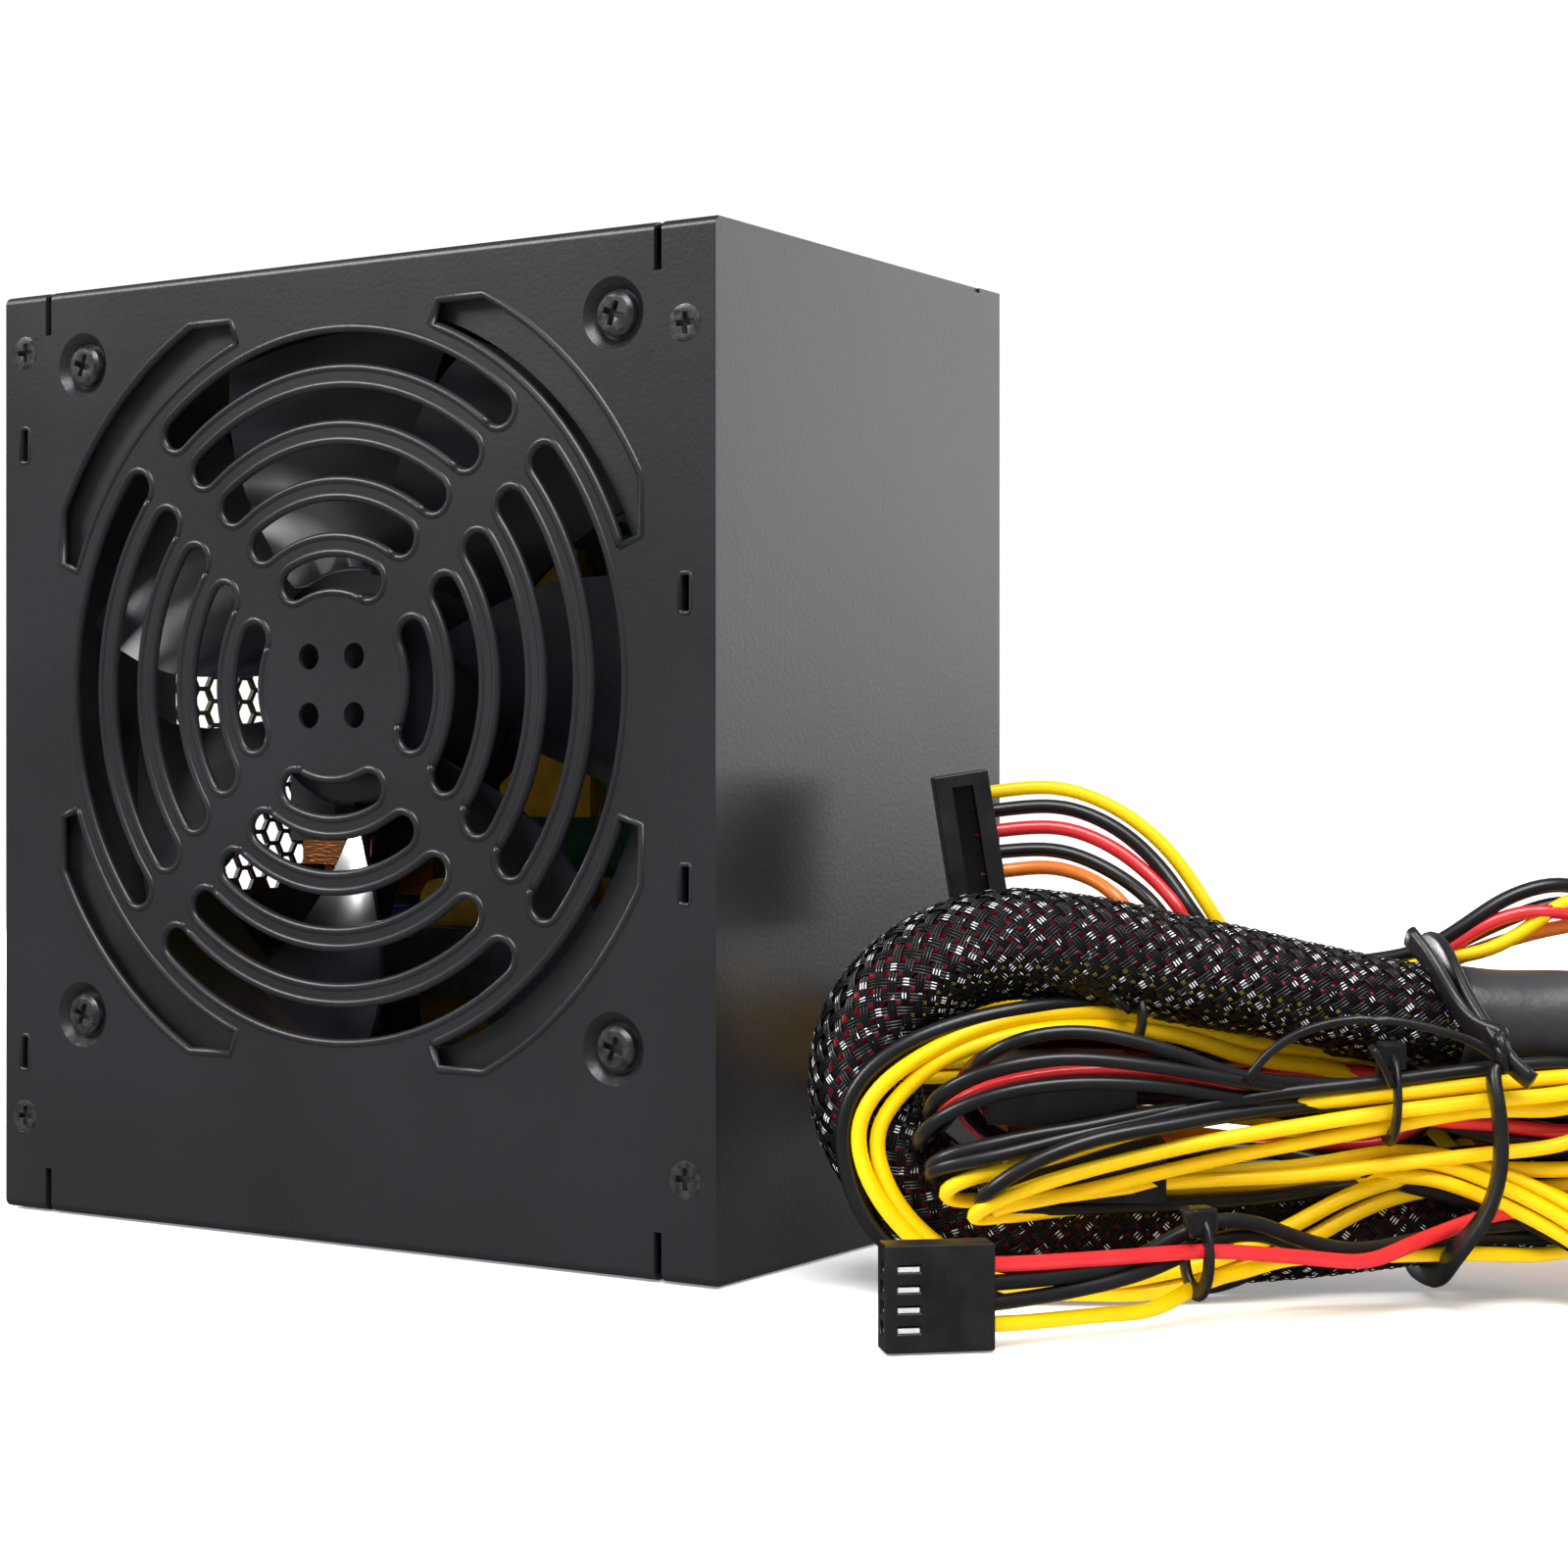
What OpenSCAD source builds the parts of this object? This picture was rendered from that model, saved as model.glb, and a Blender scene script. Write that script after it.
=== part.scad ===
// Desktop computer power supply: folded steel case, 120 mm fan, mains inlet and
// switch, filled circuit board, and the output leads tied into a hank beside it.
// X runs from the mains panel (-X) to the lead panel (+X), Y from the fan face (-Y)
// to the back, Z up. The origin is the middle of the side that it stands on.

/* [Case] */
// Width of the case across the fan face
case_w = 140; // [140:1:180]
// Depth of the case from the fan face to the back
case_d = 86; // [86:1:110]
// Height of the case as it stands
case_h = 150; // [150:1:190]
// Thickness of the sheet steel
sheet_t = 0.8; // [0.6:0.1:1.0]
// Outer radius of the folded edges
bend_r = 1.4; // [1.2:0.1:2]
// Width of the chassis flanges that the cover lies on
flange_w = 8; // [7:0.5:8.5]
// Length of chassis that shows behind the cover's flanges
rear_strip = 8; // [6:0.5:12]
// Gap between the edges of folded sheets
sheet_gap = 0.4; // [0.3:0.1:0.6]
// Length of the slits beside the cover's folds
slit_l = 7; // [5:0.5:9]
// Width of the slits beside the cover's folds
slit_w = 1.3; // [1:0.1:1.6]

/* [Fan and grille] */
// Side of the square fan
fan_size = 120; // [110:1:122]
// Thickness of the fan
fan_t = 25; // [24:0.5:26]
// Distance between neighbouring fan screws
fan_pitch = 105; // [100:0.5:106]
// Gap from the top of the case to the fan
fan_top_gap = 5; // [4:0.5:6]
// Depth of the pressed dimples that the fan is screwed to
dimple_h = 1.6; // [1.2:0.1:2]
// Diameter of the dimples
dimple_d = 10.6; // [10:0.2:12]
// Number of rings of slots in the grille
grille_rings = 5; // [3:1:5]
// Middle radius of the innermost ring of slots
ring_first_r = 17.3; // [16:0.1:18]
// Distance between rings of slots
ring_step = 8.53; // [8:0.01:8.6]
// Width of one slot
slot_w = 5.5; // [4.5:0.1:6]
// Width of the straight spokes between the slots
spoke_w = 6.2; // [5:0.1:8]
// Number of fan blades
blade_count = 7; // [5:1:9]
// Diameter of the fan hub
hub_d = 37; // [36:0.5:40]
// Clearance between the blade tips and the duct
tip_gap = 1.2; // [0.8:0.1:2]
// Diameter of the fan shaft
shaft_d = 3; // [2.5:0.1:4]
// Running clearance of the shaft and the switch pins, on the radius
run_gap = 0.05; // [0.02:0.01:0.08]

/* [Mains panel] */
// Height of the inlet and the switch above the bottom
mains_z = 26; // [24:0.5:30]
// Length of the inlet's panel opening
inlet_l = 27; // [26:0.5:28]
// Width of the inlet's panel opening
inlet_w = 19.8; // [19:0.2:20.4]
// Length of the switch's panel opening
switch_l = 20.4; // [20:0.2:22]
// Width of the switch's panel opening
switch_w = 14.4; // [14:0.2:16]
// Angle that the rocker turns between off and on
rocker_turn = 20; // [16:1:22]
// Distance between vent cells
vent_pitch = 4.3; // [4:0.1:6]
// Width of the metal between vent cells
vent_web = 0.8; // [0.7:0.1:1.2]
// Radius of the tapped holes that fasten the supply to a computer
tap_r = 1.4; // [1.3:0.05:1.6]

/* [Board] */
// Width of the circuit board
board_w = 124; // [120:1:128]
// Height of the circuit board
board_h = 132; // [130:1:136]
// Thickness of the circuit board
board_t = 1.6; // [1:0.1:2]
// Length of the spacers behind the board
spacer_h = 5.6; // [5:0.1:8]
// Thickness of the heat sinks
sink_t = 3; // [2:0.5:4]
// Height of the heat sinks above the board
sink_h = 39; // [30:1:42]

/* [Leads] */
// Outer diameter of the rubber bush around the leads
bush_d = 26; // [25:0.5:28]
// Diameter of the bundle where it leaves the case
bundle_d = 19; // [16:0.5:20]
// Height of the tied hank of leads
hank_h = 58; // [50:1:60]
// Length of the tied hank of leads
hank_l = 150; // [140:1:170]
// Thickness of the tied hank of leads
hank_t = 30; // [26:1:32]

/* [Hidden] */

black_steel = [0.16, 0.16, 0.17];
black_nylon = [0.07, 0.07, 0.07];
brass = [0.80, 0.68, 0.38];
bare_steel = [0.72, 0.72, 0.74];
aluminium = [0.75, 0.76, 0.78];
ferrite = [0.20, 0.20, 0.22];
tape_yellow = [0.95, 0.75, 0.15];
board_green = [0.10, 0.35, 0.18];

half_w = case_w / 2;
half_d = case_d / 2;
face_y = -half_d;
inner_y = face_y + sheet_t;
strip_y = half_d - rear_strip;
fan_z = case_h - fan_top_gap - fan_size / 2;
screw_pitch = min(fan_pitch, fan_size - 15);
fan_y = inner_y + dimple_h;
fan_end_y = fan_y + fan_t;
board_y = half_d - sheet_t - spacer_h - board_t;
board_z = 8;
round_n = 64;

// --- Shared shapes ---------------------------------------------------------

// A rectangle with round corners, centred, made of squares and circles only
module round_rect(w, h, r) {
    square([w - 2 * r, h], center = true);
    square([w, h - 2 * r], center = true);
    for (x = [-1, 1], y = [-1, 1])
        translate([x * (w / 2 - r), y * (h / 2 - r)]) circle(r = r, $fn = round_n);
}

// Turns children so that their +Z points along +Y
module facing_back() { rotate([-90, 0, 0]) children(); }
// Turns children so that their +Z points along -Y
module facing_front() { rotate([90, 0, 0]) children(); }
// Turns children so that their +Z points along +X
module facing_leads() { rotate([0, 90, 0]) children(); }

// A flat shape drawn in X and Z, given thickness from y0 to y1
module wall_xz(y0, y1) {
    translate([0, y1, 0]) facing_front() linear_extrude(y1 - y0) children();
}

// A block given by its lowest corner and its size
module block(corner, size) { translate(corner) cube(size); }

// A cross for a Phillips screwdriver, cut down from z = 0
module driver_cross(span, depth) {
    for (a = [0, 90]) rotate(a)
        translate([-span / 2, -0.45, -depth]) cube([span, 0.9, depth + 1]);
}

function unit(v) = v / norm(v);
function along(p, i) = unit(p[min(i + 1, len(p) - 1)] - p[max(i - 1, 0)]);
function square_to(v, t) = unit(v - (v * t) * t);
function side_of(p, i) = i == 0
    ? square_to(abs(along(p, 0)[2]) > 0.8 ? [1, 0, 0] : [0, 0, 1], along(p, 0))
    : square_to(side_of(p, i - 1), along(p, i));
function ring_of(p, i, r, sides) = let (t = along(p, i), a = side_of(p, i), b = cross(t, a))
    [for (k = [0:sides - 1]) p[i] + r * (cos(360 * k / sides) * a + sin(360 * k / sides) * b)];

// A round cord of diameter d swept along the points p, closed at both ends
module swept(p, d, sides = 8) {
    last = len(p) - 1;
    polyhedron(
        points = [for (i = [0:last]) each ring_of(p, i, d / 2, sides)],
        faces = concat(
            [[for (k = [0:sides - 1]) k]],
            [for (i = [0:last - 1], k = [0:sides - 1]) let (n = (k + 1) % sides)
                [i * sides + k, (i + 1) * sides + k, (i + 1) * sides + n, i * sides + n]],
            [[for (k = [0:sides - 1]) last * sides + sides - 1 - k]]));
}

// --- Case ------------------------------------------------------------------

screw_left_x = -(half_w - 4.4);
screw_right_x = half_w - 5.2;
case_screw_places = [[screw_left_x, case_h - 9.5], [screw_right_x, case_h - 14.8],
    [screw_left_x, 15.2], [screw_right_x, 14.8]];
tab_hole_places = [[screw_left_x, case_h - 24.7], [screw_left_x, 25.6],
    [screw_right_x, 97.2], [screw_right_x, 56.2]];
tab_hole = [1.7, 5.4];
case_head_r = 2.7;
case_core_r = 1.45;
case_head_h = 1.25;
case_screw_l = 5;
fan_head_r = 3.25;
fan_head_h = 1.7;
fan_core_r = 2.1;
fan_screw_l = 9;
fan_hole_r = fan_core_r + run_gap;
slit_x = half_w - 9.8;

function cone_r(depth) = case_head_r - (case_head_r - case_core_r) * depth / case_head_h;

module at_fan_screws() {
    for (x = [-1, 1], z = [-1, 1])
        translate([x * screw_pitch / 2, 0, fan_z + z * screw_pitch / 2]) children();
}

// One curved slot of a ring, with round ends, centred on the +X side
module ring_slot(mid_r, w) {
    end_a = 45 - asin((spoke_w / 2 + w / 2) / mid_r);
    reach = 2 * mid_r;
    intersection() {
        difference() {
            circle(r = mid_r + w / 2, $fn = 96);
            circle(r = mid_r - w / 2, $fn = 96);
        }
        polygon([[0, 0], [reach * cos(end_a), -reach * sin(end_a)],
            [reach * cos(end_a), reach * sin(end_a)]]);
    }
    for (a = [-end_a, end_a])
        rotate(a) translate([mid_r, 0]) circle(r = w / 2 - 0.05, $fn = 32);
}

corner_in_r = ring_first_r + (grille_rings - 1) * ring_step + slot_w / 2 + 3;
corner_out_r = corner_in_r + 6.8;
corner_clip = fan_size / 2 - 3;

// One crescent slot outside the rings, clipped to the fan's square
module corner_slot() {
    intersection() {
        difference() {
            circle(r = corner_out_r, $fn = 96);
            circle(r = corner_in_r, $fn = 96);
        }
        polygon([[0, 0], [100 * cos(20), 100 * sin(20)], [100, 100],
            [100 * sin(20), 100 * cos(20)]]);
        square(corner_clip);
    }
}

module grille_openings() {
    for (a = [0:90:270]) rotate(a) {
        for (i = [0:grille_rings - 1]) ring_slot(ring_first_r + i * ring_step, slot_w);
        corner_slot();
    }
    for (x = [-1, 1], y = [-1, 1]) translate([4.5 * x, 4.5 * y]) circle(r = 2, $fn = 32);
}

// The cover's folded outline, drawn in Y and Z
module cover_outline() {
    len_y = strip_y - sheet_gap - face_y;
    difference() {
        folded_end(len_y, case_h, bend_r);
        translate([sheet_t, sheet_t])
            folded_end(len_y, case_h - 2 * sheet_t, bend_r - sheet_t);
    }
}

// A rectangle from the origin whose two corners at x = 0 are round
module folded_end(w, h, r) {
    translate([r, 0]) square([w - r, h]);
    translate([0, r]) square([r, h - 2 * r]);
    for (y = [r, h - r]) translate([r, y]) circle(r = r, $fn = round_n);
}

// A pressed dish of sheet around one fan screw, opening towards -Z
module dimple() {
    rim = dimple_d / 2;
    floor_r = rim - dimple_h;
    rotate_extrude($fn = round_n) polygon([[fan_hole_r, dimple_h], [floor_r, dimple_h],
        [rim, 0], [rim + sheet_t, 0], [rim + sheet_t, sheet_t],
        [rim + 0.3, sheet_t], [floor_r + 0.3, dimple_h + sheet_t],
        [fan_hole_r, dimple_h + sheet_t]]);
}

module cover() {
    color(black_steel) difference() {
        union() {
            difference() {
                translate([-half_w, face_y, 0]) rotate([90, 0, 90])
                    linear_extrude(case_w) cover_outline();
                at_fan_screws() translate([0, face_y - 1, 0]) facing_back()
                    cylinder(r = dimple_d / 2 + sheet_t / 2, h = sheet_t + 2, $fn = round_n);
                for (x = [-1, 1]) translate([x * half_w, 0, 0])
                    block([-sheet_gap, inner_y, -1], [2 * sheet_gap, case_d, case_h + 2]);
            }
            at_fan_screws() translate([0, face_y, 0]) facing_back() dimple();
        }
        translate([0, 0, fan_z]) wall_xz(face_y - 1, inner_y + 1) grille_openings();
        for (p = case_screw_places) translate([p[0], face_y, p[1]]) facing_back()
            translate([0, 0, -0.01]) cylinder(r1 = cone_r(-0.01) + run_gap,
                r2 = cone_r(sheet_t + 0.01) + run_gap, h = sheet_t + 0.02, $fn = round_n);
        for (p = tab_hole_places) translate([p[0], 0, p[1]])
            wall_xz(face_y - 1, inner_y + 0.5) square(tab_hole, center = true);
        for (x = [-slit_x, slit_x], z = [0, case_h - slit_l])
            block([x - slit_w / 2, face_y - 1, z - (z == 0 ? 1 : 0)],
                [slit_w, 2.5 + sheet_t, slit_l + 1]);
    }
}

vent_z0 = mains_z + inlet_l / 2 + 8;
vent_z1 = case_h - 12;
vent_y0 = face_y + 8;
vent_y1 = half_d - 9;
inlet_y = half_d - 23;
switch_y = fan_end_y + switch_w / 2 + 0.9;
tap_places = [[half_d - 16, 6], [face_y + 6, 30], [half_d - 6, case_h - 6],
    [face_y + 6, case_h - 6]];
tap_boss_r = 2.6;
tap_l = 2.6;
bush_y = 8;
bush_z = 30;

// The chassis' three walls, drawn in X and Y
module chassis_outline() {
    difference() {
        rear_fold(case_w, half_d - inner_y, bend_r);
        rear_fold(case_w - 2 * sheet_t, half_d - inner_y - sheet_t, bend_r - sheet_t);
    }
}

// A rectangle that starts at y = inner_y and whose two far corners are round
module rear_fold(w, d, r) {
    translate([-w / 2, inner_y]) square([w, d - r]);
    translate([-w / 2 + r, inner_y]) square([w - 2 * r, d]);
    for (x = [-1, 1]) translate([x * (w / 2 - r), inner_y + d - r])
        circle(r = r, $fn = round_n);
}

module panel_hole(y, z, l, w) {
    block([-half_w - 1, y - w / 2, z - l / 2], [sheet_t + 2, w, l]);
}

module chassis() {
    color(black_steel) difference() {
        union() {
            difference() {
                linear_extrude(case_h) chassis_outline();
                for (z = [-1, case_h - sheet_t])
                    block([-half_w - 1, face_y, z],
                        [case_w + 2, strip_y - face_y, sheet_t + 1]);
            }
            for (z = [0, case_h - sheet_t])
                block([-half_w + sheet_t, strip_y, z],
                    [case_w - 2 * sheet_t, rear_strip - sheet_t, sheet_t]);
            for (x = [-half_w + sheet_t, half_w - sheet_t - flange_w]) {
                for (z = [sheet_t, case_h - 2 * sheet_t])
                    block([x, inner_y, z], [flange_w, strip_y - inner_y + 2, sheet_t]);
                block([x, inner_y, sheet_t], [flange_w, sheet_t, case_h - 2 * sheet_t]);
            }
            for (p = tap_places) translate([-half_w, p[0], p[1]]) facing_leads()
                cylinder(r = tap_boss_r, h = tap_l, $fn = 48);
            for (p = case_screw_places) translate([p[0], inner_y, p[1]]) facing_back()
                cylinder(r = 2.3, h = 2.4, $fn = 48);
        }
        for (p = tap_places) translate([-half_w - 1, p[0], p[1]]) facing_leads()
            cylinder(r = tap_r, h = tap_l + 2, $fn = 48);
        for (p = case_screw_places) translate([p[0], face_y, p[1]]) facing_back() {
            cylinder(r = case_core_r + run_gap, h = 8, $fn = 48);
            cylinder(r1 = cone_r(0) + run_gap, r2 = case_core_r + run_gap,
                h = case_head_h, $fn = round_n);
        }
        for (p = tab_hole_places) translate([p[0], 0, p[1]])
            wall_xz(inner_y - 1, inner_y + sheet_t + 1) square(tab_hole, center = true);
        panel_hole((vent_y0 + vent_y1) / 2, (vent_z0 + vent_z1) / 2,
            vent_z1 - vent_z0, vent_y1 - vent_y0);
        panel_hole(inlet_y, mains_z, inlet_l, inlet_w);
        panel_hole(switch_y, mains_z, switch_l, switch_w);
        translate([half_w - sheet_t - 1, bush_y, bush_z]) facing_leads()
            cylinder(r = bush_seat_r, h = sheet_t + 2, $fn = round_n);
        for (p = spacer_places) translate([p[0], half_d - sheet_t - 1, p[1]]) facing_back()
            cylinder(r = 1.5, h = sheet_t + 2, $fn = 32);
    }
}

// Honeycomb of the mains panel: the same sheet as the chassis, filling its window
module vent_panel() {
    span_y = vent_y1 - vent_y0;
    span_z = vent_z1 - vent_z0;
    row = vent_pitch * sin(60);
    cell_r = (vent_pitch - vent_web) / 2 / cos(30);
    rows = floor((span_y - 2 * cell_r - 2) / row);
    cells = floor((span_z - vent_pitch - 2) / vent_pitch);
    color(black_steel)
    translate([-half_w, (vent_y0 + vent_y1) / 2, (vent_z0 + vent_z1) / 2])
    rotate([90, 0, 90]) linear_extrude(sheet_t) difference() {
        square([span_y, span_z], center = true);
        for (i = [0:rows], j = [0:cells - i % 2])
            translate([(i - rows / 2) * row, (j - cells / 2 + (i % 2) / 2) * vent_pitch])
                circle(r = cell_r, $fn = 6);
    }
}

module case_screws() {
    color([0.12, 0.12, 0.13]) for (p = case_screw_places)
        translate([p[0], face_y, p[1]]) facing_back() difference() {
            union() {
                cylinder(r1 = case_head_r, r2 = case_core_r, h = case_head_h, $fn = round_n);
                cylinder(r = case_core_r, h = case_screw_l, $fn = 48);
            }
            rotate([180, 0, 0]) driver_cross(3.2, 0.9);
        }
}

module fan_screws() {
    head_base = face_y + dimple_h;
    color([0.12, 0.12, 0.13]) at_fan_screws() translate([0, head_base, 0])
        facing_back() difference() {
            union() {
                translate([0, 0, -fan_head_h + 0.6])
                    cylinder(r = fan_head_r, h = fan_head_h - 0.6, $fn = round_n);
                translate([0, 0, -fan_head_h]) cylinder(r1 = fan_head_r - 0.6,
                    r2 = fan_head_r, h = 0.6, $fn = round_n);
                cylinder(r = fan_core_r, h = fan_screw_l, $fn = 48);
            }
            rotate([180, 0, 20]) translate([0, 0, fan_head_h]) driver_cross(3.6, 1.2);
        }
}

// --- Fan -------------------------------------------------------------------

duct_r = fan_size / 2 - 2;
hub_r = hub_d / 2;
tip_r = duct_r - tip_gap;
base_t = 3.5;
base_y = fan_end_y - base_t;
plate_t = 1.2;
flange_t = 3.5;
shaft_r = shaft_d / 2;
bearing_r = 3.5;
tube_r = 5;
hub_front = fan_y + 2;
hub_back = base_y - 2.5;
cup_t = 1.7;
cup_r = hub_r - cup_t;
magnet_t = 1.8;
tube_front = hub_front + 5;
blade_t = 1.5;
blade_front = fan_y + 1.2;
blade_back = base_y - 1.6;

// Puts children on the fan's axis, with +Z along +Y from the place y
module on_fan_axis(y) { translate([0, y, fan_z]) facing_back() children(); }

module fan_frame() {
    color(black_nylon) difference() {
        union() {
            difference() {
                union() {
                    for (y = [fan_y, fan_end_y - flange_t]) on_fan_axis(y)
                        linear_extrude(flange_t) round_rect(fan_size, fan_size, 3);
                    on_fan_axis(fan_y)
                        cylinder(r = duct_r + 1.9, h = fan_t, $fn = 128);
                }
                on_fan_axis(fan_y - 1) cylinder(r = duct_r, h = fan_t + 2, $fn = 128);
            }
            at_fan_screws() translate([0, fan_y, 0]) facing_back()
                cylinder(r = fan_hole_r + 1.8, h = fan_t, $fn = 48);
            on_fan_axis(base_y) cylinder(r = hub_r + 0.5, h = base_t, $fn = 96);
            for (a = [20:90:290]) on_fan_axis(base_y) rotate(a)
                translate([hub_r - 1, -2.2, 0]) cube([duct_r - hub_r + 1.8, 4.4, base_t]);
            on_fan_axis(tube_front)
                cylinder(r = tube_r, h = base_y - tube_front + 0.5, $fn = 64);
        }
        on_fan_axis(tube_front - 1)
            cylinder(r = bearing_r, h = fan_end_y - tube_front - 0.2, $fn = 64);
        at_fan_screws() translate([0, fan_y - 1, 0]) facing_back()
            cylinder(r = fan_hole_r, h = fan_t + 2, $fn = 48);
    }
}

// Points of one blade: stations out from the hub, and points along the chord
blade_rows = 6;
blade_cols = 5;
function blade_point(i, j, side) = let (
    u = i / blade_rows, s = j / blade_cols,
    r = hub_r - 0.6 + (tip_r - hub_r + 0.6) * u,
    a = -14 * u + 18 * u * u + (40 - 3 * u) * (s - 0.5),
    rise = (blade_back - blade_front) * (1 - 0.35 * u),
    y = (blade_front + blade_back) / 2 + rise * (s - 0.5 + 0.10 * sin(180 * s))
        - 0.04 * rise + side * blade_t / 2 * (0.35 + 0.65 * sin(180 * (0.12 + 0.76 * s))))
    [r * cos(a), r * sin(a), y];
function blade_index(i, j, side) = (side > 0 ? 0 : (blade_rows + 1) * (blade_cols + 1))
    + i * (blade_cols + 1) + j;

// One curved blade, its angle measured about Z, before it is placed on the hub
module blade() {
    polyhedron(
        points = [for (side = [1, -1], i = [0:blade_rows], j = [0:blade_cols])
            blade_point(i, j, side)],
        faces = [for (i = [0:blade_rows - 1], j = [0:blade_cols - 1]) each [
                [blade_index(i, j, 1), blade_index(i, j + 1, 1), blade_index(i + 1, j + 1, 1)],
                [blade_index(i, j, 1), blade_index(i + 1, j + 1, 1), blade_index(i + 1, j, 1)],
                [blade_index(i, j, -1), blade_index(i + 1, j + 1, -1),
                    blade_index(i, j + 1, -1)],
                [blade_index(i, j, -1), blade_index(i + 1, j, -1),
                    blade_index(i + 1, j + 1, -1)]],
            for (i = [0:blade_rows - 1]) each [
                [blade_index(i, 0, 1), blade_index(i + 1, 0, 1), blade_index(i + 1, 0, -1)],
                [blade_index(i, 0, 1), blade_index(i + 1, 0, -1), blade_index(i, 0, -1)],
                [blade_index(i, blade_cols, 1), blade_index(i + 1, blade_cols, -1),
                    blade_index(i + 1, blade_cols, 1)],
                [blade_index(i, blade_cols, 1), blade_index(i, blade_cols, -1),
                    blade_index(i + 1, blade_cols, -1)]],
            for (j = [0:blade_cols - 1]) each [
                [blade_index(0, j, 1), blade_index(0, j, -1), blade_index(0, j + 1, -1)],
                [blade_index(0, j, 1), blade_index(0, j + 1, -1), blade_index(0, j + 1, 1)],
                [blade_index(blade_rows, j, 1), blade_index(blade_rows, j + 1, -1),
                    blade_index(blade_rows, j, -1)],
                [blade_index(blade_rows, j, 1), blade_index(blade_rows, j + 1, 1),
                    blade_index(blade_rows, j + 1, -1)]]]);
}

// The blades are drawn about Z with y as height, so they lie down with the hub
module fan_rotor() {
    hub_l = hub_back - hub_front;
    color([0.22, 0.22, 0.24]) {
        difference() {
            union() {
                on_fan_axis(hub_front) rotate_extrude($fn = 96) difference() {
                    union() {
                        translate([0, 1]) square([hub_r, hub_l - 1]);
                        square([hub_r - 1, 2]);
                        translate([hub_r - 1, 1]) circle(r = 1, $fn = 32);
                    }
                    translate([0, cup_t]) square([cup_r, hub_l]);
                    translate([-2, -1]) square([2, hub_l + 2]);
                }
                on_fan_axis(hub_front) cylinder(r = shaft_r + 1.6, h = 3.6, $fn = 48);
            }
            on_fan_axis(hub_front + 0.8) cylinder(r = shaft_r, h = hub_l, $fn = 48);
        }
        for (k = [0:blade_count - 1]) translate([0, 0, fan_z]) facing_back()
            rotate(360 * k / blade_count) blade();
    }
}

module fan_shaft() {
    color(bare_steel) on_fan_axis(hub_front + 0.8)
        cylinder(r = shaft_r, h = base_y - hub_front + 0.4, $fn = 48);
}

module fan_magnet() {
    color([0.25, 0.22, 0.20]) on_fan_axis(hub_front + cup_t + 1) difference() {
        cylinder(r = cup_r, h = hub_back - hub_front - cup_t - 2, $fn = 96);
        translate([0, 0, -1]) cylinder(r = cup_r - magnet_t, h = fan_t, $fn = 96);
    }
}

module fan_bearing() {
    color(brass) on_fan_axis(tube_front + 0.5) difference() {
        cylinder(r = bearing_r, h = base_y - tube_front - 1, $fn = 64);
        translate([0, 0, -1]) cylinder(r = shaft_r + run_gap, h = fan_t, $fn = 48);
    }
}

module fan_stator() {
    core_r = cup_r - magnet_t - 0.5;
    color([0.72, 0.42, 0.20]) on_fan_axis(tube_front + 1.5) difference() {
        union() {
            cylinder(r = tube_r + 2, h = 6, $fn = 64);
            for (a = [0:90:270]) rotate(a) {
                translate([tube_r, -2, 1.5]) cube([core_r - tube_r - 1, 4, 3]);
                translate([tube_r + 2.2, -3.2, 0.6]) cube([3.4, 6.4, 4.8]);
            }
            translate([0, 0, 1.5]) difference() {
                cylinder(r = core_r, h = 3, $fn = 96);
                translate([0, 0, -1]) cylinder(r = core_r - 1.8, h = 5, $fn = 96);
                for (a = [45:90:315]) rotate(a)
                    translate([core_r - 3, -1.2, -1]) cube([4, 2.4, 5]);
            }
        }
        translate([0, 0, -1]) cylinder(r = tube_r, h = 12, $fn = 64);
    }
}

module fan_circuit() {
    color(board_green) on_fan_axis(base_y - plate_t) difference() {
        cylinder(r = cup_r - magnet_t, h = plate_t, $fn = 96);
        translate([0, 0, -1]) cylinder(r = tube_r, h = plate_t + 2, $fn = 64);
    }
}

lead_gap = 0.2;
fan_lead_d = 2.4;
plug_place = [46, board_y, 52];
plug_h = 7;

module fan_lead() {
    y = fan_end_y + fan_lead_d / 2 + lead_gap;
    color([0.1, 0.1, 0.1]) swept([[14, y, fan_z - 8], [24, y, fan_z - 10],
        [44, y, fan_z - 20], [50, y + 3, fan_z - 26],
        [50, (y + board_y) / 2, (fan_z - 26 + plug_place[2]) / 2],
        [plug_place[0], board_y - plug_h - 8, plug_place[2] + 2],
        [plug_place[0], board_y - plug_h, plug_place[2]]], fan_lead_d);
}

module fan_plug() {
    color([0.92, 0.92, 0.88])
        block(plug_place + [-3.5, -plug_h, -2.6], [7, plug_h, 5.2]);
}

// --- Board -----------------------------------------------------------------

spacer_inset = 5;
spacer_places = [for (x = [-1, 1], z = [0, 1])
    [x * (board_w / 2 - spacer_inset), board_z + (z == 0 ? spacer_inset
        : board_h - spacer_inset)]];

// Puts children on the board at x, z, with +Z standing up towards the fan
module on_board(x, z) { translate([x, board_y, z]) facing_front() children(); }

// A box that stands on the board: w along X, d along Z, h tall
module board_box(x, z, w, d, h) { on_board(x, z) translate([-w / 2, -d / 2, 0]) cube([w, d, h]); }

module main_board() {
    color(board_green) difference() {
        block([-board_w / 2, board_y, board_z], [board_w, board_t, board_h]);
        for (p = spacer_places) translate([p[0], board_y - 1, p[1]]) facing_back()
            cylinder(r = 1.6, h = board_t + 2, $fn = 32);
    }
}

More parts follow.
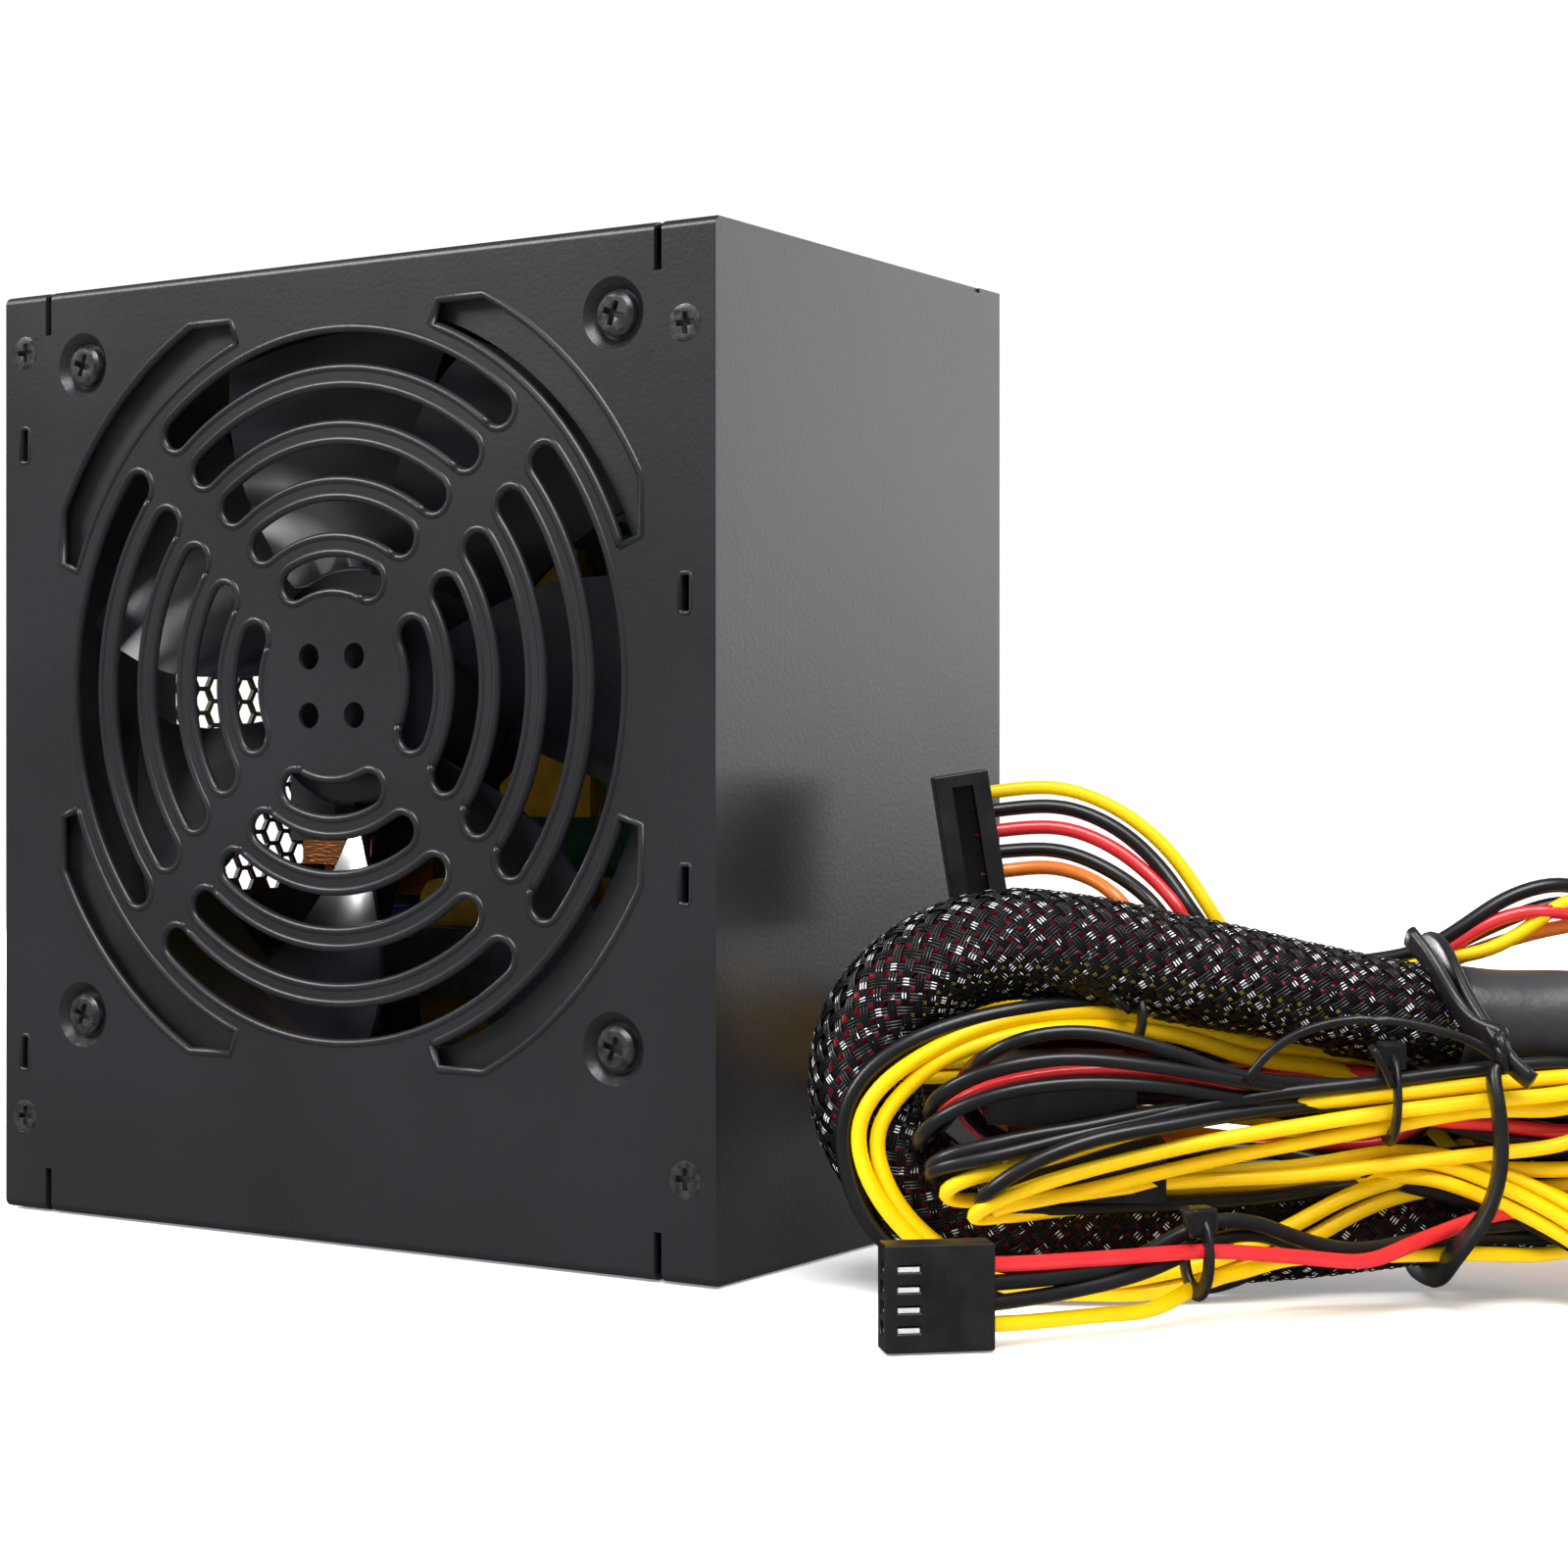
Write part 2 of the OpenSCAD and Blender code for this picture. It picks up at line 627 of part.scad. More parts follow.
module board_spacers() {
    color(brass) for (p = spacer_places)
        translate([p[0], board_y + board_t, p[1]]) facing_back() difference() {
            union() {
                cylinder(r = 3, h = spacer_h, $fn = 6);
                cylinder(r = 1.5, h = spacer_h + sheet_t, $fn = 32);
            }
            translate([0, 0, -1]) cylinder(r = 1.25 + run_gap, h = 5, $fn = 32);
        }
}

module board_screws() {
    color(bare_steel) for (p = spacer_places) on_board(p[0], p[1]) difference() {
        union() {
            cylinder(r = 2.6, h = 1.8, $fn = 48);
            translate([0, 0, -board_t - 3.6]) cylinder(r = 1.25, h = board_t + 4, $fn = 32);
        }
        translate([0, 0, 1.8]) driver_cross(2.8, 1);
    }
}

module insulating_sheet() {
    sheet_y = half_d - sheet_t - 0.4;
    color([0.9, 0.9, 0.86]) difference() {
        block([-board_w / 2, sheet_y - 0.3, board_z], [board_w, 0.3, board_h]);
        for (p = spacer_places) translate([p[0], sheet_y - 1, p[1]]) facing_back()
            cylinder(r = 3.6, h = 2, $fn = 32);
    }
}

sink_primary_x = -34;
sink_primary_z = [60, 112];
sink_secondary_x = 34;
sink_secondary_z = [62, 128];
primary_device_z = [70, 86, 102];
secondary_device_z = [72, 92, 112];
device = [4.5, 10, 15];
device_lift = 9;
device_hole_h = device_lift + 11.5;

// A finned plate that stands on the board; its fins point away from the devices
module heatsink(x, z, fin_side) {
    len_z = z[1] - z[0];
    fin = 7;
    color(aluminium) translate([x, 0, z[0]]) difference() {
        union() {
            block([-sink_t / 2, board_y - sink_h, 0], [sink_t, sink_h - 3, len_z]);
            for (leg = [4, len_z - 8])
                block([-sink_t / 2, board_y - 4, leg], [sink_t, 4, 4]);
            for (k = [0:3])
                block([fin_side > 0 ? sink_t / 2 - 0.1 : -sink_t / 2 - fin + 0.1,
                    board_y - sink_h + 6 * k, 0], [fin, 1.4, len_z]);
        }
        for (p = fin_side > 0 ? secondary_device_z : primary_device_z)
            translate([-10, board_y - device_hole_h, p - z[0]]) facing_leads()
                cylinder(r = 1.5, h = 20, $fn = 32);
    }
}

module primary_heatsink() { heatsink(sink_primary_x, sink_primary_z, -1); }
module secondary_heatsink() { heatsink(sink_secondary_x, sink_secondary_z, 1); }

// Flat power devices screwed to one face of a heat sink, on three legs each
module power_devices(x0, places) {
    for (z = places) difference() {
        union() {
            block([x0, board_y - device_lift - device[2], z - device[1] / 2],
                [device[0], device[2], device[1]]);
            for (leg = [-2.5, 0, 2.5])
                block([x0 + 2, board_y - device_lift - 0.1, z + leg - 0.4],
                    [0.6, device_lift + 0.1, 0.8]);
        }
        translate([x0 - 1, board_y - device_hole_h, z]) facing_leads()
            cylinder(r = 1.55, h = 8, $fn = 32);
    }
}

module switching_transistors() {
    color(black_nylon) power_devices(sink_primary_x + sink_t / 2, primary_device_z);
}

module output_rectifiers() {
    color(black_nylon)
        power_devices(sink_secondary_x - sink_t / 2 - device[0], secondary_device_z);
}

module device_screws() {
    screw_l = sink_t + device[0];
    color(bare_steel) {
        for (z = primary_device_z)
            translate([sink_primary_x + sink_t / 2 + device[0], board_y - device_hole_h, z])
                facing_leads() {
                    cylinder(r = 2.6, h = 2, $fn = 32);
                    translate([0, 0, -screw_l]) cylinder(r = 1.45, h = screw_l, $fn = 32);
                }
        for (z = secondary_device_z)
            translate([sink_secondary_x - sink_t / 2 - device[0], board_y - device_hole_h, z])
                rotate([0, -90, 0]) {
                    cylinder(r = 2.6, h = 2, $fn = 32);
                    translate([0, 0, -screw_l]) cylinder(r = 1.45, h = screw_l, $fn = 32);
                }
    }
}

transformer_x = -12;
transformer_z = 40;
core_w = 35;
core_l = 11;
core_h = 34;
core_leg = 6;
winding_w = 22;
winding_l = 27;

// Ferrite ring around the winding, with the middle leg left to the winding
module transformer_core() {
    color(ferrite) on_board(transformer_x, transformer_z) translate([0, 0, 2])
        difference() {
            translate([-core_w / 2, -core_l / 2, 0]) cube([core_w, core_l, core_h - 2]);
            translate([-winding_w / 2, -core_l, core_leg])
                cube([winding_w, 2 * core_l, core_h - 2 - 2 * core_leg]);
        }
}

module transformer_winding() {
    color(tape_yellow) on_board(transformer_x, transformer_z) {
        translate([0, 0, 2 + core_leg]) linear_extrude(core_h - 2 - 2 * core_leg)
            round_rect(winding_w, winding_l, 4);
        for (y = [-1, 1]) translate([-winding_w / 2, y * (core_l / 2 + 4.2) - 3.4, 0])
            cube([winding_w, 6.8, 3]);
        for (y = [-1, 1]) translate([-winding_w / 2 + 2, y * (core_l / 2 + 4.2) - 2.4, 3])
            cube([winding_w - 4, 4.8, core_leg - 1]);
    }
}

// A small wound transformer: bobbin, tape and core as one block shape
module small_transformer(x, z, w, d, h) {
    on_board(x, z) {
        translate([-w / 2, -d / 2, 0]) cube([w, d, 2.5]);
        translate([0, 0, 2.5]) linear_extrude(h - 5) round_rect(w - 5, d - 1, 3);
        translate([-w / 2, -d / 4, 2.5]) cube([w, d / 2, h - 5]);
        translate([-w / 2, -d / 2, h - 2.5]) cube([w, d, 2.5]);
    }
}

module driver_transformer() { color(tape_yellow) small_transformer(-4, 72, 19, 16, 18); }
module standby_transformer() { color(tape_yellow) small_transformer(-6, 99, 22, 20, 21); }

// A round capacitor that stands on the board, with a grooved can
module round_capacitor(x, z, d, h) {
    on_board(x, z) difference() {
        cylinder(r = d / 2, h = h, $fn = 64);
        translate([0, 0, 2.2]) rotate_extrude($fn = 64)
            translate([d / 2 + 0.3, 0]) circle(r = 0.7, $fn = 24);
        translate([0, 0, h - 0.4]) cylinder(r = d / 2 - 1.2, h = 1, $fn = 64);
    }
}

module bulk_capacitors() {
    color([0.12, 0.12, 0.16]) for (x = [-44, -18]) round_capacitor(x, 126, 22, 36);
}

module output_capacitors() {
    color([0.05, 0.45, 0.35]) {
        for (z = [70:12:118]) round_capacitor(15, z, 10, 20);
        for (z = [70, 84]) round_capacitor(54, z, 10, 20);
        round_capacitor(22, 52, 8, 12);
    }
}

module output_choke() {
    color([0.75, 0.45, 0.18]) on_board(24, 30) translate([0, 0, 8.5]) {
        rotate_extrude($fn = 96) translate([10.5, 0]) circle(r = 5.5, $fn = 48);
        for (k = [0:11]) rotate(30 * k) translate([10.5, 0, 0]) rotate([90, 0, 0])
            rotate_extrude($fn = 48) translate([5.5, 0]) circle(r = 0.9, $fn = 24);
        for (x = [-10, 10]) translate([x, 0, -8.5]) cylinder(r = 0.8, h = 6, $fn = 24);
    }
}

module mains_filter_choke() {
    color([0.65, 0.38, 0.18]) on_board(-50, 58) {
        translate([-9, -9, 0]) cube([18, 18, 2]);
        translate([-8, -3, 2]) cube([16, 6, 16]);
        for (y = [-1, 1]) translate([0, y * 4.8, 10]) facing_leads()
            translate([0, 0, -6]) cylinder(r = 4.4, h = 12, $fn = 48);
    }
}

module film_capacitors() {
    color([0.95, 0.80, 0.20]) {
        board_box(-50.4, 80, 8, 18, 14);
        board_box(-50.4, 103, 8, 16, 12);
    }
}

// Round disc capacitors on long wire legs, beside the inlet
module safety_capacitors() {
    color([0.10, 0.25, 0.75]) for (z = [40, 46]) {
        on_board(-40, z) translate([0, 0, 17]) rotate([0, 90, 90])
            translate([0, 0, -1.8]) cylinder(r = 4.8, h = 3.6, $fn = 48);
        for (x = [-43, -37]) on_board(x, z) cylinder(r = 0.4, h = 16, $fn = 16);
    }
}

module bridge_rectifier() {
    color(black_nylon) {
        on_board(-43.5, 79) translate([-2.25, -10, 4]) cube([4.5, 20, 11]);
        for (z = [-7.5:5:7.5]) board_box(-43.5, 79 + z, 0.8, 0.8, 4.1);
    }
}

module mains_fuse() {
    color([0.85, 0.85, 0.80]) {
        translate([-58, board_y - 4, 78]) cylinder(r = 2.6, h = 20, center = true, $fn = 48);
        for (z = [69.5, 86.5]) block([-59, board_y - 4, z - 0.5], [2, 4, 1]);
    }
}

module control_board() {
    color(board_green) block([45, board_y - 24, 92], [1.6, 24, 34]);
    color(black_nylon) block([46.6, board_y - 20, 98], [3, 7, 20]);
}

// --- Mains inlet and switch ------------------------------------------------

inlet_lip = 2.2;
inlet_deep = 18;
socket_l = 24.4;
socket_w = 16.4;
socket_deep = 15;
pin_places = [[-2, -7], [-2, 7], [2, 0]];
pin = [4, 2];
earth_pin = 2;

// Puts children on the mains panel at y, with +Z out of the case and +X up
module on_panel(y) { translate([-half_w, y, mains_z]) rotate([0, -90, 0]) children(); }

module inlet_body() {
    color(black_nylon) difference() {
        on_panel(inlet_y) union() {
            linear_extrude(inlet_lip) round_rect(inlet_l + 4, inlet_w + 4, 3);
            translate([0, 0, -inlet_deep]) linear_extrude(inlet_deep + 0.1)
                square([inlet_l, inlet_w], center = true);
        }
        on_panel(inlet_y) translate([0, 0, inlet_lip - socket_deep])
            linear_extrude(socket_deep + 1) polygon([
                [-socket_l / 2, -socket_w / 2], [socket_l / 2, -socket_w / 2],
                [socket_l / 2, socket_w / 2 - 4.5], [socket_l / 2 - 4.5, socket_w / 2],
                [4.5 - socket_l / 2, socket_w / 2], [-socket_l / 2, socket_w / 2 - 4.5]]);
        on_panel(inlet_y) for (p = pin_places)
            translate([p[1] - pin[1] / 2, p[0] - pin[0] / 2, -inlet_deep - 1])
                cube([pin[1], pin[0], inlet_deep]);
    }
}

module inlet_pins() {
    color(bare_steel) on_panel(inlet_y) for (p = pin_places)
        translate([p[1] - pin[1] / 2, p[0] - pin[0] / 2, -inlet_deep - 6])
            cube([pin[1], pin[0], inlet_deep + 6 + inlet_lip - 3 + (p[1] == 0 ? 1.5 : 0)]);
}

rocker_l = 16.4;
rocker_w = 11;
rocker_half = rocker_turn / 2;
rocker_pin_r = 1.2;
rocker_axis = 0.6;
well_l = 18.4;
well_w = 11.8;
switch_lip = 1.8;
switch_deep = 13;

module switch_housing() {
    color(black_nylon) difference() {
        on_panel(switch_y) union() {
            linear_extrude(switch_lip) round_rect(switch_l + 2, switch_w + 2, 1.2);
            translate([0, 0, -switch_deep]) linear_extrude(switch_deep + 0.1)
                square([switch_l, switch_w], center = true);
        }
        on_panel(switch_y) translate([-well_l / 2, -well_w / 2, -9])
            cube([well_l, well_w, 9 + switch_lip + 1]);
        on_panel(switch_y) translate([0, 0, rocker_axis]) rotate([90, 0, 0])
            translate([0, 0, -switch_w]) cylinder(r = rocker_pin_r + run_gap,
                h = 2 * switch_w, $fn = 48);
        on_panel(switch_y) for (x = [-5, 5])
            translate([x - 0.4, -2.4, -switch_deep - 1]) cube([0.8, 4.8, 4]);
    }
}

// Rest is off: the lower half stands out and the upper half is pressed in
module switch_rocker() {
    color([0.10, 0.10, 0.11]) on_panel(switch_y) translate([0, 0, rocker_axis])
        rotate([0, rocker_half, 0]) {
            rotate([90, 0, 0]) translate([0, 0, -rocker_w / 2]) linear_extrude(rocker_w)
                polygon([[-rocker_l / 2, 1.6], [-rocker_l / 2, 3.0], [0, 1.5],
                    [rocker_l / 2, 3.0], [rocker_l / 2, 1.6], [4.5, -3.8], [-4.5, -3.8]]);
            rotate([90, 0, 0]) translate([0, 0, -rocker_w / 2 - 1])
                cylinder(r = rocker_pin_r, h = rocker_w + 2, $fn = 48);
        }
}

module switch_terminals() {
    color(brass) on_panel(switch_y) for (x = [-5, 5])
        translate([x - 0.4, -2.4, -switch_deep - 6]) cube([0.8, 4.8, 8]);
}

wire_d = 2.2;

// A wire from the inlet to the board and two from the switch to the board
module mains_wires() {
    inlet_x = -half_w + inlet_deep + 6;
    switch_x = -half_w + switch_deep + 6;
    y = inlet_y - 2;
    z = mains_z + 7;
    color([0.45, 0.22, 0.10]) {
        swept([[inlet_x, y, z], [inlet_x + 1.5, y, z], [inlet_x + 3.6, y + 2, z],
            [inlet_x + 4, y + 6, z], [inlet_x + 4, board_y, z]], wire_d);
        for (up = [-5, 5])
            swept([[switch_x, switch_y, mains_z + up], [switch_x + 5, switch_y, mains_z + up],
                [switch_x + 12, switch_y + 5, mains_z + up],
                [switch_x + 14, switch_y + 13, mains_z + up],
                [switch_x + 14, board_y, mains_z + up]], wire_d);
    }
}

earth_place = [-30, board_z + 4];

module earth_screw() {
    color(bare_steel) {
        on_board(earth_place[0], earth_place[1]) {
            cylinder(r = 3, h = 2, $fn = 48);
            translate([0, 0, 2]) cylinder(r = 2.2, h = 0.8, $fn = 6);
        }
    }
}

// --- Output leads ----------------------------------------------------------

bush_groove = min(1.6, (bush_d - bundle_d) / 2 - 0.6);
bush_seat_r = bush_d / 2 - bush_groove;
bush_lip = 2;
bundle_r = bundle_d / 2;
hank_turn = 31;
hank_foot = [half_w + 10, -34];

module lead_bush() {
    color(black_nylon) difference() {
        translate([half_w - sheet_t - bush_lip, bush_y, bush_z]) facing_leads() union() {
            cylinder(r = bush_d / 2, h = bush_lip, $fn = 96);
            translate([0, 0, bush_lip + sheet_t]) cylinder(r = bush_d / 2, h = bush_lip, $fn = 96);
            cylinder(r = bush_seat_r, h = 2 * bush_lip + sheet_t, $fn = 96);
        }
        translate([0, bush_y, bush_z]) facing_leads()
            cylinder(r = bundle_r, h = case_w, $fn = 96);
    }
}

// Wires from the board to the bush, in a square bundle that turns without crossing
module output_wires() {
    gap = 3.2;
    middle = [[49, board_y, bush_z], [49, board_y - 3, bush_z], [49, board_y - 7, bush_z],
        [50.5, bush_y + 9.5, bush_z], [55, bush_y + 3, bush_z], [62, bush_y, bush_z],
        [half_w - 2, bush_y, bush_z], [half_w + bush_lip, bush_y, bush_z]];
    color([0.85, 0.75, 0.10]) for (i = [-1.5:1.5], j = [-1.5:1.5])
        swept([for (k = [0:len(middle) - 1]) let (t = along(middle, k))
            middle[k] + gap * [-t[1] * i, t[0] * i, j]], 2.6);
}

// Puts children in the hank's frame: +X along it, +Y away from the fan face side
module at_hank(s, n, z) {
    translate([hank_foot[0], hank_foot[1], 0]) rotate(hank_turn) translate([s, n, z])
        children();
}

tie_s = 92;
tie_w = 3.6;
tie_neck = 4;
tie_t = 1.4;
tie_gap = 0.3;
pocket = [[17, 12], [34, 27]];
pocket_n = 22;

// The hank's long outline with round ends, drawn in length and height
module hank_outline() {
    r = hank_h / 2;
    end_r = 20;
    translate([r, 0]) square([hank_l - r - end_r, hank_h]);
    translate([r, r]) circle(r = r, $fn = 96);
    translate([r, end_r]) square([hank_l - r, hank_h - 2 * end_r]);
    for (z = [end_r, hank_h - end_r]) translate([hank_l - end_r, z])
        circle(r = end_r, $fn = 96);
}

module cable_hank() {
    color([0.13, 0.13, 0.12]) at_hank(0, 0, 0) difference() {
        rotate([90, 0, 0]) translate([0, 0, -hank_t / 2]) linear_extrude(hank_t)
            hank_outline();
        translate([tie_s - tie_w / 2 - tie_gap, 0, 0]) tie_ring(tie_w + 2 * tie_gap, tie_neck + 2);
        translate([pocket[0][0], -hank_t / 2 - 1, pocket[0][1]])
            cube([pocket[1][0], pocket_n + 1, pocket[1][1]]);
    }
}

// A rectangular ring round the hank, t thick, on the floor of the hank's neck
module tie_ring(w, t) {
    n = hank_t - 2 * tie_neck;
    h = hank_h - 2 * tie_neck;
    rotate([90, 0, 90]) linear_extrude(w) translate([0, hank_h / 2]) difference() {
        square([n + 2 * t, h + 2 * t], center = true);
        square([n, h], center = true);
    }
}

module hank_tie() {
    head = [tie_w, 4, 6];
    color(black_nylon) at_hank(tie_s - tie_w / 2, 0, 0) {
        tie_ring(tie_w, tie_t);
        translate([0, tie_neck - tie_t - hank_t / 2 - head[1], hank_h / 2]) cube(head);
    }
}

// Routes of the free leads. The trunk's and the floppy tail's are measured from the
// lead panel, and the other tails' are in the hank's frame.
trunk_route = [[2, 8, 30], [6, 8, 30], [17, 9, 32], [34, 16, 35], [56, 30, 34], [78, 44, 30],
    [96, 54, 26], [110, 58, 24], [120, 54, 24], [124, 46, 24]];
main_route = [[148, 0, 28], [158, 0, 22], [165, 0, 11], [172, 0, 5]];
processor_route = [[98, 13, 8], [104, 22, 7], [109, 35, 6], [114, 43, 5], [120, 46, 5]];
graphics_route = [[108, -13, 8], [112, -22, 7], [118, -31, 6], [123, -34, 5], [128, -34, 5]];
sata_route = [[27, 23, 62], [36, 23, 62], [46, 22, 59], [54, 21, 53], [60, 18, 48],
    [64, 13, 44]];
floppy_route = [[51, -58.6, 7], [58, -52, 6], [70, -40, 5], [80, -26, 6],
    [87, -10, 10], [91, -2, 12]];

module lead_trunk() {
    color([0.10, 0.10, 0.10]) translate([half_w, 0, 0]) swept(trunk_route, bundle_d, 12);
}
module main_tail() { color([0.10, 0.10, 0.10]) at_hank(0, 0, 0) swept(main_route, 9, 10); }
module processor_tail() { color([0.9, 0.8, 0.1]) at_hank(0, 0, 0) swept(processor_route, 6); }
module graphics_tail() { color([0.9, 0.8, 0.1]) at_hank(0, 0, 0) swept(graphics_route, 6); }
module sata_tail() { color([0.8, 0.15, 0.15]) at_hank(0, 0, 0) swept(sata_route, 6); }
module floppy_tail() {
    color([0.8, 0.15, 0.15]) translate([half_w, 0, 0]) swept(floppy_route, 6);
}

cell = 4.2;
shell = 1.2;
plug_l = 15;

// A block of square cells that open towards +X, centred on Y, with its latch on top
module cell_connector(cols, rows, latch_w) {
    w = cols * cell + shell;
    h = rows * cell + shell;
    difference() {
        translate([0, -w / 2, 0]) cube([plug_l, w, h]);
        for (i = [0:cols - 1], j = [0:rows - 1])
            translate([plug_l - 9, (i - (cols - 1) / 2) * cell - 1.7,
                (j + 0.5) * cell + shell / 2 - 1.7]) cube([10, 3.4, 3.4]);
    }
    translate([3, -latch_w / 2, h - 0.1]) cube([2.5, latch_w, 1.4]);
    translate([1, -latch_w / 2, h + 1.2]) cube([plug_l - 1, latch_w, 1]);
}

module main_connector() {
    color(black_nylon) at_hank(172, 0, 0) cell_connector(12, 2, 7);
}

module processor_connector() {
    color(black_nylon) for (y = [-5, 5]) at_hank(120, 46 + y, 0) cell_connector(2, 2, 4);
}

module graphics_connector() {
    color(black_nylon) {
        at_hank(128, -32, 0) cell_connector(3, 2, 4);
        at_hank(128, -42, 0) cell_connector(1, 2, 3);
    }
}

sata_size = [8, 14, 21];

module sata_connector() {
    color(black_nylon) at_hank(25, 23, 51) rotate([0, -9, 0]) difference() {
        translate([-sata_size[0] / 2, -sata_size[1] / 2, 0]) cube(sata_size);
        translate([-1.5, -sata_size[1] / 2 - 1, 2])
            cube([3, 7, sata_size[2] - 4]);
    }
}

floppy_size = [14, 4.8, 13.4];
floppy_cell = 2.54;

module floppy_connector() {
    color(black_nylon) translate([half_w + 42.5, -69.5, 0]) rotate(42) difference() {
        cube(floppy_size);
        for (k = [0:3]) translate([-1, 1.4, (k - 1.5) * floppy_cell + floppy_size[2] / 2 - 0.8])
            cube([8, 2, 1.6]);
        for (k = [0:3]) translate([1.5, -1, (k - 1.5) * floppy_cell + floppy_size[2] / 2 - 0.5])
            cube([3, 3, 1]);
    }
}

drive_size = [20, 20.6, 8.2];

// Two four-way drive plugs that lie in the middle of the hank
module drive_connectors() {
    color(black_nylon) for (p = [[24, 24.5], [28, 14]])
        at_hank(p[0], -hank_t / 2 + 0.2, p[1]) difference() {
            cube(drive_size);
            for (k = [0:3]) translate([-1, (k + 0.5) * 5.08 + 0.14, drive_size[2] / 2])
                facing_leads() cylinder(r = 1.7, h = 11, $fn = 32);
        }
}

cover();
chassis();
vent_panel();
case_screws();
fan_screws();
fan_frame();
fan_rotor();
fan_shaft();
fan_magnet();
fan_bearing();
fan_stator();
fan_circuit();
fan_lead();
fan_plug();
main_board();
board_spacers();
board_screws();
insulating_sheet();
primary_heatsink();
secondary_heatsink();
switching_transistors();
output_rectifiers();
device_screws();
transformer_core();
transformer_winding();
driver_transformer();
standby_transformer();
bulk_capacitors();
output_capacitors();
output_choke();
mains_filter_choke();
film_capacitors();
safety_capacitors();
bridge_rectifier();
mains_fuse();
control_board();
inlet_body();
inlet_pins();
switch_housing();
switch_rocker();
switch_terminals();
mains_wires();
earth_screw();
lead_bush();
output_wires();
lead_trunk();
cable_hank();
hank_tie();
main_connector();
processor_connector();
graphics_connector();
sata_connector();
floppy_connector();
drive_connectors();
main_tail();
processor_tail();
graphics_tail();
sata_tail();
floppy_tail();
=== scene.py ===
import math

import bpy
from mathutils import Matrix, Vector, noise


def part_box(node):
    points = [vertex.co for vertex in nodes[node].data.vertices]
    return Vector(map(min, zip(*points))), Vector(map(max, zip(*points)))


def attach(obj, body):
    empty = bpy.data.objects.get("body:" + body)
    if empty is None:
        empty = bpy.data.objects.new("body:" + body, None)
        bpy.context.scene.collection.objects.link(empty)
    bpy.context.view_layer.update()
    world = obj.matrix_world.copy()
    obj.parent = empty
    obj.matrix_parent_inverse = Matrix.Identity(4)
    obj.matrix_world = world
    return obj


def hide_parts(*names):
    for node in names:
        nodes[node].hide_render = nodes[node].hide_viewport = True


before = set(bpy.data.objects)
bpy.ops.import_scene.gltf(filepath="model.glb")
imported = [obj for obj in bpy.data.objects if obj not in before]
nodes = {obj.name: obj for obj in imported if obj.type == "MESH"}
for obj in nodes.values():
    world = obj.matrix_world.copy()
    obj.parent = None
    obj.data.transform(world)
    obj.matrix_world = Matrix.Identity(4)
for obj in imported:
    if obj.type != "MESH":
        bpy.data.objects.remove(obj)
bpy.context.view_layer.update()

# --- Studio ---------------------------------------------------------------
# A pale seamless sweep and four soft lights: over the fan face, from the lead side, from
# above, and a low one beside the mains panel that shines in through its honeycomb.

camera_data = bpy.data.cameras.new("camera")
camera_data.sensor_width = 36
camera_data.lens = 67.64
camera_data.shift_x = 0.0278
camera_data.shift_y = -0.0174
camera_data.clip_start, camera_data.clip_end = 0.02, 20
camera = bpy.data.objects.new("camera", camera_data)
bpy.context.collection.objects.link(camera)
camera.location = (0.2948, -0.3870, 0.0742)
camera.rotation_euler = (math.radians(90), 0, math.radians(32.685))
bpy.context.scene.camera = camera
bpy.context.scene.view_settings.view_transform = "Standard"

bpy.ops.object.select_all(action="DESELECT")
bpy.ops.mesh.primitive_plane_add(size=6, location=(0, 0, -0.0003))
sweep = bpy.context.object
sweep.name = "studio_sweep"
paper = bpy.data.materials.new("studio_paper")
paper.use_nodes = True
paper_nodes, paper_links = paper.node_tree.nodes, paper.node_tree.links
paper_shader = paper_nodes["Principled BSDF"]
paper_shader.inputs["Roughness"].default_value = 0.6
paper_shader.inputs["Specular IOR Level"].default_value = 0.1
paper_shader.inputs["Emission Color"].default_value = (1, 1, 1, 1)

# The paper glows a little more away from the supply, so that it stays one even white,
# and it is dark in reflections, as the dark table in front of a real sweep is.
paper_place = paper_nodes.new("ShaderNodeTexCoord")
paper_reach = paper_nodes.new("ShaderNodeVectorMath")
paper_reach.operation = "LENGTH"
paper_glow, paper_tone = (paper_nodes.new("ShaderNodeMapRange") for _ in range(2))
for remap, (low, high, start, end) in ((paper_glow, (0.20, 0.80, 0.26, 0.62)),
                                       (paper_tone, (0, 1, 0.97, 0.06))):
    for socket_name, value in zip(("From Min", "From Max", "To Min", "To Max"), (low, high, start, end)):
        remap.inputs[socket_name].default_value = value
paper_ray = paper_nodes.new("ShaderNodeLightPath")
paper_shown = paper_nodes.new("ShaderNodeMath")
paper_shown.operation = "MULTIPLY"
paper_links.new(paper_place.outputs["Object"], paper_reach.inputs[0])
paper_links.new(paper_reach.outputs["Value"], paper_glow.inputs["Value"])
paper_links.new(paper_ray.outputs["Is Glossy Ray"], paper_tone.inputs["Value"])
paper_links.new(paper_tone.outputs["Result"], paper_shader.inputs["Base Color"])
paper_links.new(paper_glow.outputs["Result"], paper_shown.inputs[0])
paper_links.new(paper_tone.outputs["Result"], paper_shown.inputs[1])
paper_links.new(paper_shown.outputs[0], paper_shader.inputs["Emission Strength"])
sweep.data.materials.append(paper)

